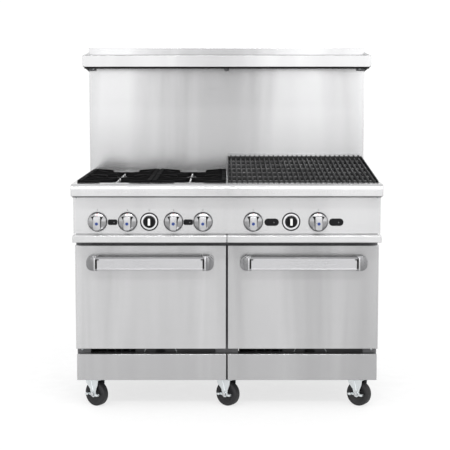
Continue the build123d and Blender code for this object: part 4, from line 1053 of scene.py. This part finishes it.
@dataclass
class Controls:
    """Knobs, dials, sight slots, index marks and screws of the control panel."""

    knob_radius: float = 0.039
    grip_width: float = 0.027
    grip_depth: float = 0.0415
    body: str = "range_body"

    def build(self) -> None:
        """Make every control."""
        for number in range(1, 5):
            self.gas_knob("burner_knob_%d" % number)
        for number in range(1, 3):
            self.gas_knob("broiler_knob_%d" % number)
        for side in SIDES:
            self.dial("thermostat_knob_" + side)
        self.bezels()
        self.index_marks()
        self.sight_slots()
        self.screws()
        dressed(PIPE, "gas_manifold")
        dressed(BRASS, "gas_valves")

    def centre(self, node: str) -> Vector:
        """Middle of a knob, at its back."""
        low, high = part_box(node)
        middle = (low + high) / 2
        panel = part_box("control_panel")[0].y
        return Vector((middle.x, panel - 0.002, middle.z))

    def gas_knob(self, node: str) -> None:
        """Chrome knob: dark seat, rounded disc with a shallow dome in chrome darkened as painted
        reflection, grip bar, black grooves as painted shade, marks.
        """
        centre = self.centre(node)
        r = self.knob_radius
        shape = Shape()
        disc = [(0.0, 0.0012), (r - 0.002, 0.0012), (r - 0.0006, 0.003), (r - 0.0008, 0.0065),
            (r - 0.0028, 0.0090)]
        disc += [(r * 0.84, 0.0112), (r * 0.6, 0.0148), (r * 0.3, 0.017), (0.0, 0.0175)]
        shape.turned(disc, centre, steps=64)
        shape.piece(node + "_chrome", CHROME, node, (node,))
        seat = Shape()
        seat.turned([(0.0, 0.0), (r, 0.0), (r, 0.0028), (r - 0.0012, 0.0034), (0.0, 0.0034)],
            centre, steps=64)
        seat.piece(node + "_seat", BAFFLE, node)
        self.grip(node, centre)
        self.flanks(node, centre)
        self.marks(node, centre)

    def grip(self, node: str, centre: Vector) -> None:
        """Upright bar with a flat bright face, waisted behind it, rounded at its foot."""
        half, top, foot = self.grip_width / 2, centre.z + 0.0215, centre.z - 0.0305
        front = centre.y - self.grip_depth
        body = Shape()
        outline = []
        for side in (1, -1):
            rows = [(centre.x + side * half * wide, front + 0.0025 + depth * 0.030)
                    for depth, wide in GRIP_WAIST]
            outline += rows if side > 0 else rows[::-1]
        body.slab(outline, Axis.Z, (foot, top), 0.003, 4)
        body.piece(node + "_grip", CAST_HANDLE, node)
        face = Shape()
        radii = (0.010, 0.010, 0.004, 0.004)
        outline = rounded_outline(about(centre.x, half), (foot - 0.0008, top + 0.0006), radii)
        face.slab(outline, Axis.Y, (front, front + 0.006), 0.0016, 3)
        face.piece(node + "_face", GRIP_CHROME, node)

    def flanks(self, node: str, centre: Vector) -> None:
        """Black slabs along the grip, ending in a triangle at the top: painted shade in the grooves
        and the recess beside the grip.
        """
        shape = Shape()
        half = self.grip_width / 2
        for side in (-1, 1):
            x = centre.x + side * (half - 0.0005)
            outline = [(x, centre.z + 0.0225), (x + side * 0.0105, centre.z + 0.0205),
                (x + side * 0.0045, centre.z + 0.010)]
            outline += [(x + side * 0.0022, centre.z - 0.008),
                (x + side * 0.0012, centre.z - 0.024), (x, centre.z - 0.025)]
            shape.slab(outline, Axis.Y, (centre.y - 0.0185, centre.y - 0.008), 0.0005)
        shape.piece(node + "_painted_shade_recesses", PAINTED_SHADE_BLACK, node)

    def marks(self, node: str, centre: Vector) -> None:
        """Red index line on the dome and a plain round dot on the grip."""
        line = Shape()
        line.box(about(centre.x, 0.0009), (centre.y - 0.0155, centre.y - 0.008),
                 (centre.z + 0.0260, centre.z + 0.0335), 0.0003)
        line.piece(node + "_index", RED_MARK, node)
        dot = Shape()
        profile = [(0.0, 0.0005), (0.0058, 0.0005), (0.0062, 0.0002), (0.0062, -0.002),
            (0.0, -0.002)]
        dot.turned(profile, Vector((centre.x, centre.y - self.grip_depth, centre.z - 0.0045)),
            steps=28)
        dot.piece(node + "_dot", BLUE_DOT, node)

    def dial(self, node: str) -> None:
        """Black dial with a raised grip and a white pointer."""
        low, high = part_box(node)
        centre = (low + high) / 2
        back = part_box("control_panel")[0].y - 0.0045
        radius = (high.x - low.x) / 2
        shape = Shape()
        profile = [(0.0, 0.0), (radius, 0.0), (radius, 0.007), (radius - 0.0012, 0.0095),
            (radius - 0.004, 0.0105)]
        profile += [(radius - 0.006, 0.0100), (0.0, 0.0105)]
        shape.turned(profile, Vector((centre.x, back, centre.z)), steps=56)
        grip = rounded_outline(about(centre.x, 0.0085), about(centre.z, 0.019), (0.006,) * 4)
        shape.slab(grip, Axis.Y, (low.y + 0.0008, back - 0.008), 0.0015, 3)
        shape.piece(node + "_dial", DIAL, node, (node,))
        pointer = Shape()
        outline = rounded_outline(about(centre.x, 0.0046), (centre.z - 0.013, centre.z + 0.0145),
            (0.0015,) * 4, 3)
        pointer.slab(outline, Axis.Y, (low.y, low.y + 0.0015), 0.0003)
        pointer.piece(node + "_pointer", PRINT, node)

    def bezels(self) -> None:
        """Bright plate with a dark outer ring around each dial."""
        low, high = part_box("thermostat_bezels")
        radius = (high.z - low.z) / 2
        back = high.y
        plates, rings = Shape(), Shape()
        for side in SIDES:
            knob_low, knob_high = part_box("thermostat_knob_" + side)
            centre = Vector(((knob_low.x + knob_high.x) / 2, back, (low.z + high.z) / 2))
            outer = radius - 0.0042
            plates.turned([(0.006, 0.0), (outer, 0.0), (outer, 0.0022), (outer - 0.001, 0.0032),
                (0.0245, 0.0034),
                           (0.006, 0.0034), (0.006, 0.0)], centre, steps=64)
            rings.turned([(outer + 0.0002, 0.0), (radius, 0.0), (radius, 0.003),
                (radius - 0.0008, 0.0039),
                          (outer + 0.001, 0.0039), (outer + 0.0002, 0.003),
                          (outer + 0.0002, 0.0)], centre, steps=64)
            rings.turned([(0.0238, 0.0), (0.0250, 0.0), (0.0250, 0.0037), (0.0238, 0.0037),
                (0.0238, 0.0)], centre, steps=64)
        plates.piece("bezel_plates", BEZEL, self.body, ("thermostat_bezels",))
        rings.piece("bezel_rings", DIAL, self.body)

    def index_marks(self) -> None:
        """A small dark dot above each control."""
        shape = Shape()
        names = ["burner_knob_%d" % n for n in range(1,
            5)] + ["broiler_knob_%d" % n for n in range(1, 3)]
        for node in names + ["thermostat_knob_" + side for side in SIDES]:
            centre = self.centre(node)
            top = Vector((centre.x, centre.y + 0.0021, centre.z + 0.0465))
            shape.turned([(0.0, 0.0004), (0.0018, 0.0004), (0.0018, 0.0), (0.0, 0.0)], top,
                steps=16)
        shape.piece("index_marks", DIAL, self.body)

    def sight_slots(self) -> None:
        """Black trims of the pilot sight slots, each with the dark pilot tube end behind."""
        low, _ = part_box("control_panel")
        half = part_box("side_panels")[1].x
        middle = low.z + 0.046
        trims, tubes = Shape(), Shape()
        for share, width, height in SIGHT_SLOTS:
            x = half * share
            radius = 0.0065 if height < 0.025 else height / 2 - 0.0001
            outline = rounded_outline(
                about(x, width / 2), about(middle, height / 2), (radius,) * 4, 8)
            trims.slab(outline, Axis.Y, (low.y - 0.0035, low.y + 0.004), 0.0018, 3)
            spot = Vector((x + width * 0.16, low.y - 0.0036, middle - 0.001))
            tubes.turned(PILOT_TUBE, spot, steps=20)
        trims.piece("sight_slot_trims", DIAL, self.body)
        tubes.piece("pilot_tube_ends", FRAME_SHEET, self.body)

    def screws(self) -> None:
        """Round-head screws, each with a cross slot."""
        shape, slots = Shape(), Shape()
        low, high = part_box("control_panel")
        frame_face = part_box("chassis_frame")
        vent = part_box("vent_baffles")
        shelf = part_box("high_shelf")
        places = []
        for side in (-1, 1):
            places.append(Vector((side * (high.x - 0.0125), low.y, high.z - 0.009)))
            places.append(Vector((side * (high.x - 0.0215), frame_face[0].y + 0.024,
                (vent[0].z + vent[1].z) / 2)))
            places.append(Vector((side * (shelf[1].x - 0.0245), shelf[1].y - 0.040,
                shelf[0].z + 0.014)))
        for place in places:
            shape.turned(SCREW_HEAD, place, steps=24)
            for size in ((0.0024, 0.0005), (0.0005, 0.0024)):
                slots.box(about(place.x, size[0]), (place.y - 0.0024, place.y - 0.0012),
                          about(place.z, size[1]), 0.0001, 1)
        shape.piece("screw_heads", ZINC, self.body, ("panel_screws",))
        slots.piece("screw_slots", BAFFLE, self.body)


@dataclass
class OpenBurners:
    """Cast grates, burner heads and the bright rails between the grate halves."""

    bar: float = 0.017
    body: str = "range_body"

    def build(self) -> None:
        """Make the four grates and what lies under them."""
        for row in ("front", "rear"):
            for side in SIDES:
                self.grate("top_grate_%s_%s" % (row, side))
        self.rails()
        self.heads()

    def border(self, shape: Shape, low: Vector, high: Vector, place: Span) -> None:
        """One bar across the grate: a high wing at each end and a low middle."""
        foot, top, dip = low.z, high.z, high.z - 0.015
        middle = (low.x + high.x) / 2
        for near, sign in ((low.x, 1), (high.x, -1)):
            outline = [(near, foot), (near, top - 0.003), (near + sign * 0.003, top)]
            outline += [(near + sign * 0.024, top), (near + sign * 0.088, top - 0.005),
                (near + sign * 0.090, dip)]
            outline += [(middle + sign * 0.0005, dip), (middle + sign * 0.0005, foot + 0.004)]
            outline += [(near + sign * 0.060, foot + 0.004), (near + sign * 0.050, foot)]
            shape.slab(outline, Axis.Y, place, 0.001, 2)

    def grate(self, node: str) -> None:
        """Border, straight fingers and diagonal corner fingers, all cast in one."""
        low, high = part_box(node)
        shape = Shape()
        for place in ((low.y, low.y + self.bar), (high.y - self.bar, high.y)):
            self.border(shape, low, high, place)
        for x in ((low.x, low.x + self.bar), (high.x - self.bar, high.x)):
            rim = [(low.y + self.bar * 0.5, high.z - 0.024),
                (low.y + self.bar * 0.5, high.z - 0.0006)]
            rim += [(high.y - self.bar * 0.5, high.z - 0.0006),
                (high.y - self.bar * 0.5, high.z - 0.024)]
            shape.slab(rim, Axis.X, x, 0.001, 2)
        centre = (low + high) / 2
        for side in (-1, 1):
            for share in FINGER_SHARES:
                self.finger(shape, low, high, side, centre.y + share * (high.y - low.y))
        for side in (-1, 1):
            for end in (-1, 1):
                self.corner(shape, low, high, side, end)
        shape.piece(node + "_cast", IRON, node, (node,))

    def finger(self, shape: Shape, low: Vector, high: Vector, side: int, y: float) -> None:
        """Tapered finger from a side border to the slot in the middle."""
        centre = (low.x + high.x) / 2
        root = high.x - 0.006 if side > 0 else low.x + 0.006
        tip = centre + side * 0.020
        top = high.z - 0.004
        outline = [(root, top - 0.024), (root, top), (tip, top - 0.007), (tip, top - 0.018),
            (tip + side * 0.05, top - 0.024)]
        shape.slab(outline, Axis.Y, about(y, 0.006), 0.001, 2)

    def corner(self, shape: Shape, low: Vector, high: Vector, side: int, end: int) -> None:
        """Diagonal bar across a corner, rising to the corner's top."""
        x = high.x if side > 0 else low.x
        y = high.y if end > 0 else low.y
        made = Shape()
        made.slab([(0.008, -0.024), (0.008, -0.0015), (0.112, -0.010), (0.112, -0.020),
            (0.06, -0.024)],
                  Axis.Y, (-0.006, 0.006), 0.001, 2)
        angle = math.atan2(-end, -side)
        made.turn_about(Matrix.Translation((x, y, high.z)) @ Matrix.Rotation(angle, 4, "Z"))
        joined = bpy.data.meshes.new("corner")
        made.bm.to_mesh(joined)
        made.bm.free()
        shape.bm.from_mesh(joined)
        bpy.data.meshes.remove(joined)

    def rails(self) -> None:
        """Bright rails under the slots of the grates and between the columns."""
        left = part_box("top_grate_front_left")
        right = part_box("top_grate_rear_right")
        ledge = left[0].z
        shape = Shape()
        columns = [(left[0].x + left[1].x) / 2, (left[1].x + right[0].x) / 2,
            (right[0].x + right[1].x) / 2]
        start, pitch = left[0].y + 0.03, (right[1].y - left[0].y - 0.06) / RAIL_BITS
        for x, half in zip(columns, (0.0030, 0.0008, 0.0030)):
            for bit in range(RAIL_BITS):
                y = start + pitch * bit
                shape.box(about(x, half), (y, y + pitch * 0.55),
                    (ledge + 0.0005, left[1].z - 0.0165), 0.0004)
        shape.piece("grate_rails", STAINLESS_SIDE, self.body)

    def heads(self) -> None:
        """Port rings and caps on the burner heads."""
        dressed(IRON, "open_burners")
        shape = Shape()
        for row in ("front", "rear"):
            for side in SIDES:
                low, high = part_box("top_grate_%s_%s" % (row, side))
                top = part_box("open_burners")[1].z
                centre = Vector(((low.x + high.x) / 2, (low.y + high.y) / 2, top - 0.010))
                shape.turned(BURNER_CAP, centre, Axis.Z, 40)
                for port in range(PORTS):
                    turn = Matrix.Translation(centre) @ Matrix.Rotation(math.tau * port / PORTS, 4,
                        "Z")
                    shape.bar(turn @ Vector((0.036, 0, -0.006)), turn @ Vector((0.0455, 0, -0.006)),
                        0.0018, 8)
        shape.piece("burner_caps", BROILER_IRON, self.body)


@dataclass
class Charbroiler:
    """Sloping cast grates in four sections over radiants and burners."""

    sections: int = 4
    bars: int = 7
    ties: int = 6
    bar: float = 0.009
    depth: float = 0.022
    bed_margin: float = 0.586 - 0.5764
    body: str = "range_body"

    def build(self) -> None:
        """Make the sections and dress the firebox."""
        low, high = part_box("broiler_grates")
        dressed(BLACK_STEEL, "broiler_firebox")
        dressed(IRON, "broiler_burners", "broiler_radiants")
        pitch = (high.x - low.x + self.bed_margin + 0.0005) / self.sections
        start = (low.x + high.x) / 2 - pitch * self.sections / 2
        for number in range(self.sections):
            self.section(number, start + pitch * (number + 0.5), pitch / self.bars, low, high)

    def section(self, number: int, centre: float, step: float, low: Vector, high: Vector) -> None:
        """One section: bars with a narrow top edge, ties and a raised tooth at the rear end of each
        bar.

        Args:
            number: counts from the left.
            centre: X of the section's middle.
            step: distance between bars.
            low: lowest corner of all the grates.
            high: highest corner of all the grates.
        """
        depth = self.depth
        run = high.y - low.y - 0.001
        rise = high.z - low.z - depth
        slope = math.atan2(rise, run)
        length = run / math.cos(slope) - 0.003
        half = self.bar / 2
        shape = Shape()
        for index in range(self.bars):
            x = (index - (self.bars - 1) / 2) * step
            outline = [(x - half * 0.7, -depth), (x + half * 0.7, -depth),
                (x + half, -depth * 0.35)]
            outline += [(x + half * 0.55, -0.001), (x + half * 0.2, 0.0), (x - half * 0.2, 0.0),
                (x - half * 0.55, -0.001)]
            outline += [(x - half, -depth * 0.35)]
            shape.slab(outline, Axis.Y, (0.0, length), 0.001, 2)
            shape.box(about(x, 0.0025), (length - 0.007, length - 0.0005), (-0.006, 0.010), 0.001)
        reach = self.bars / 2 * step - 0.0003
        # Pale dots between the bars: painted light showing through the gaps.
        webs, painted_light_dots = Shape(), Shape()
        for tie in range(self.ties):
            y = length * (tie + 0.5) / self.ties
            webs.box((-reach, reach), about(y, 0.012), (-depth + 0.003, -0.009), 0.0015)
            for index in range(1, self.bars):
                x = (index - self.bars / 2) * step
                painted_light_dots.box(about(x, 0.002), about(y, 0.008), (-0.0095, -0.0075), 0.0008)
            for side in (-1, 1):
                x = tuple(sorted((side * reach, side * (reach - 0.002))))
                painted_light_dots.box(x, about(y, 0.008), (-0.0095, -0.0075), 0.0008)
        spot = Matrix.Translation((centre, low.y + 0.0015, low.z + depth + 0.0005))
        place = spot @ Matrix.Rotation(slope, 4, "X")
        nodes = ("broiler_grates",) if number == 0 else ()
        for made, kind, finish, stands_for in (
                (shape, "section", BROILER_IRON, nodes),
                (webs, "webs", GAP_GREY_IRON, ()),
                (painted_light_dots, "painted_light_dots", GAP_LIGHT_IRON, ())):
            name = "broiler_%s_%d" % (kind, number + 1)
            made.turn_about(place).piece(name, finish, "broiler_grates", stands_for)


@dataclass
class Ovens:
    """Enamelled ovens with floor plates, racks and burners."""

    def build(self) -> None:
        """Dress the CAD parts of both ovens."""
        dressed(ENAMEL, "oven_liners", "oven_floor_plates")
        dressed(RACK_CHROME, "oven_racks")
        dressed(GALVANISED, "oven_burners")


@dataclass
class Caster:
    """One swivel caster: plate, race, fork, axle bolt, wheel and, in front, a brake."""

    name: str
    radius: float = 0.0508
    turn: float = math.radians(-37.0)
    trail: float = 0.018
    joint_place: Vector = field(default_factory=lambda: Vector((0, 0, 0)))

    def build(self) -> None:
        """Make the pieces around the swivel axis that the frame gives."""
        for joint in frame["joints"]:
            if joint["name"] == "caster_%s_swivel" % self.name:
                self.joint_place = Vector(joint["pos_m"])
        self.fork()
        self.wheel()
        if self.name.startswith("front"):
            self.brake()

    def placed(self, shape: Shape) -> Shape:
        """Turn a shape from the caster's own axes into its rest place."""
        spot = Vector((self.joint_place.x, self.joint_place.y, 0.0))
        return shape.turn_about(Matrix.Translation(spot) @ Matrix.Rotation(self.turn, 4, "Z"))

    @property
    def axle(self) -> Vector:
        """Middle of the axle, in the caster's own axes."""
        return Vector((self.trail, 0, self.radius))

    def fork(self) -> None:
        """Curved legs, ribbed crown, ball race and the axle bolt."""
        node = "caster_fork_" + self.name
        body = "caster_" + self.name
        legs = Shape()
        hub = (self.trail, self.radius)
        crown = 0.112
        outline = [(-0.024, crown), (-0.020, 0.094), (self.trail - 0.0165, 0.070)]
        outline += arc(hub, 0.013, 180, 360, 10) + [(self.trail + 0.0155, 0.068),
            (self.trail + 0.024, 0.090)]
        outline += [(self.trail + 0.026, crown)]
        for y in ((-0.023, -0.020), (0.020, 0.023)):
            legs.slab(outline, Axis.Y, y, 0.0009, 2)
        legs.box((-0.024, self.trail + 0.026), (-0.0229, 0.0229), (0.108, crown), 0.0012, 3)
        for y in (-0.0242, 0.0242):
            legs.bar(Vector((0.008, y * 0.97, 0.108)), Vector((self.trail, y * 0.97, 0.066)),
                0.0022, 10)
        legs.turned(SWIVEL_RACE, Vector((0, 0, 0)), Axis.Z, 40)
        self.placed(legs).piece(node + "_steel", ZINC, body, (node,))
        bolt = Shape()
        for profile in (AXLE_HEAD, AXLE_NUT):
            bolt.turned(profile, self.axle, Axis.Y, 6)
        bolt.bar(Vector((self.trail, -0.0268, self.radius)),
            Vector((self.trail, 0.0235, self.radius)), 0.0048, 20)
        self.placed(bolt).piece("caster_bolt_" + self.name, GALVANISED, body)

    def wheel(self) -> None:
        """Rubber wheel: crowned tread, stepped flanks and a hub."""
        node = "caster_wheel_" + self.name
        r = self.radius
        shape = Shape()
        half = [*WHEEL_FLANK, (r, 0.005)]
        profile = half + [(radius, -height) for radius, height in half[::-1]] + [half[0]]
        shape.turned(profile, self.axle, Axis.Y, 56)
        self.placed(shape).piece(node + "_rubber", RUBBER, "caster_%s_wheel" % self.name, (node,),
            40.0)

    def brake(self) -> None:
        """Rocking lever with two foot tabs."""
        node = "caster_brake_" + self.name
        shape = Shape()
        z = about(self.radius, 0.0048)
        shape.box(about(self.trail, 0.034), (-0.0259, -0.0234), z, 0.0008)
        for side in (-1, 1):
            x = tuple(sorted((self.trail + side * 0.0338, self.trail + side * 0.019)))
            shape.box(x, (-0.0358, -0.0234), z, 0.0022, 4)
        shape.turned(BRAKE_RING, self.axle, Axis.Y, 32)
        self.placed(shape).piece(node + "_lever", ZINC, "caster_%s_brake" % self.name, (node,))


@dataclass
class Studio:
    """Pale floor, soft lights and the camera."""

    focal: float = 101.84
    place: tuple[float, float, float] = (-0.0076, -5.3547, 1.3247)
    pitch: float = 6.52
    floor_size: float = 60.0
    bands: tuple[Point, ...] = ((0.0, 0.84), (0.36, 0.84), (0.45, 0.15), (0.5, 0.35), (0.6, 0.74),
        (0.74, 1.0))
    heights: tuple[Point, ...] = ((0.0, 1.0), (0.1, 0.95), (0.3, 0.72), (1.0, 0.72))
    room_level: float = 1.05
    front_level: float = 2.6
    box_place: tuple[float, float, float] = (0.2, -4.4, 4.3)
    box_target: tuple[float, float, float] = (0.0, 0.0, 1.0)
    box_size: Span = (4.0, 0.5)
    box_power: float = 150.0

    def build(self) -> None:
        """Make the floor, the world, the lights and the camera."""
        scene = bpy.context.scene
        scene.view_settings.view_transform = "Standard"
        self.floor()
        self.world(scene)
        self.light("front_softbox", self.box_place, self.box_target, self.box_size, self.box_power)
        self.camera(scene)

    def floor(self) -> None:
        """A wide pale plane."""
        bm = bmesh.new()
        bmesh.ops.create_grid(bm, x_segments=1, y_segments=1, size=self.floor_size / 2)
        mesh = bpy.data.meshes.new("studio_floor")
        bm.to_mesh(mesh)
        bm.free()
        mesh.materials.append(FLOOR.make())
        floor = bpy.data.objects.new("studio_floor", mesh)
        bpy.context.scene.collection.objects.link(floor)

    def world(self, scene: bpy.types.Scene) -> None:
        """White room: brighter above and in front, with soft upright bands of tone in front."""
        world = bpy.data.worlds.new("studio")
        scene.world = world
        world.use_nodes = True
        tree = world.node_tree
        parts = add_node(tree, "ShaderNodeSeparateXYZ")
        join(tree, add_node(tree, "ShaderNodeTexCoord"), "Generated", parts, "Vector")
        front = add_node(tree, "ShaderNodeMapRange",
            {"From Min": 0.0, "From Max": -0.7, "To Min": 0.0, "To Max": 1.0})
        join(tree, parts, "Y", front, "Value")
        across = add_node(tree, "ShaderNodeMapRange", {"From Min": -0.15, "From Max": 0.15})
        join(tree, parts, "X", across, "Value")
        bands = self.ramp(tree, across.outputs["Result"], self.bands)
        height = self.ramp(tree, parts.outputs["Z"], self.heights)
        level = add_node(tree, "ShaderNodeMix", {"A": self.room_level}, data_type="FLOAT")
        join(tree, front, "Result", level, "Factor")
        both = add_node(tree, "ShaderNodeMath", operation="MULTIPLY")
        tree.links.new(bands, both.inputs[0])
        tree.links.new(height, both.inputs[1])
        double = add_node(tree, "ShaderNodeMath", {1: self.front_level}, operation="MULTIPLY")
        join(tree, both, "Value", double, 0)
        join(tree, double, "Value", level, "B")
        background = tree.nodes["Background"]
        join(tree, level, "Result", background, "Strength")
        background.inputs["Color"].default_value = (1.0, 1.0, 1.0, 1.0)

    def ramp(self, tree: Tree, value: Socket, stops: Sequence[Point]) -> Socket:
        """Turn (place, grey) stops into a smooth ramp.

        Args:
            tree: where the ramp goes.
            value: what it follows.
            stops: places from 0 to 1, each with its grey.

        Returns:
            The ramp's output.
        """
        node = add_node(tree, "ShaderNodeValToRGB")
        node.color_ramp.interpolation = "EASE"
        elements = node.color_ramp.elements
        while len(elements) < len(stops):
            elements.new(0.5)
        for element, (place, grey) in zip(elements, stops):
            element.position = place
            element.color = (grey, grey, grey, 1.0)
        tree.links.new(value, node.inputs["Fac"])
        return node.outputs["Color"]

    def light(self, name: str, place: Sequence[float], target: Sequence[float], size: Span,
            power: float) -> None:
        """Add a rectangular soft light.

        Args:
            name: the light's name.
            place: where it stands.
            target: where it points.
            size: width and height.
            power: watts.
        """
        lamp = bpy.data.lights.new(name, "AREA")
        lamp.shape = "RECTANGLE"
        lamp.size, lamp.size_y = size
        lamp.energy = power
        holder = bpy.data.objects.new(name, lamp)
        bpy.context.scene.collection.objects.link(holder)
        holder.location = place
        aim = Vector(target) - Vector(place)
        holder.rotation_euler = aim.to_track_quat("-Z", "Y").to_euler()

    def camera(self, scene: bpy.types.Scene) -> None:
        """Long lens, slightly above the cooktop, looking a little down."""
        lens = bpy.data.cameras.new("studio_camera")
        lens.lens = self.focal
        lens.sensor_width = 36.0
        camera = bpy.data.objects.new("studio_camera", lens)
        scene.collection.objects.link(camera)
        camera.location = self.place
        camera.rotation_euler = (math.radians(90.0 - self.pitch), 0.0, 0.0)
        scene.camera = camera


def main() -> None:
    """Build the range's looks in order."""
    logging.basicConfig(level=logging.INFO, format="%(name)s: %(message)s")
    parts: list = [Studio(), Sheetwork(), Ovens(), Controls(), OpenBurners(), Charbroiler()]
    parts += [OvenDoor(side) for side in SIDES] + [CrumbTray(side) for side in SIDES]
    parts += [Caster(name) for name in CASTERS]
    for part in parts:
        part.build()
    dressed(ZINC, "caster_plates")


if __name__ == "__main__":
    main()
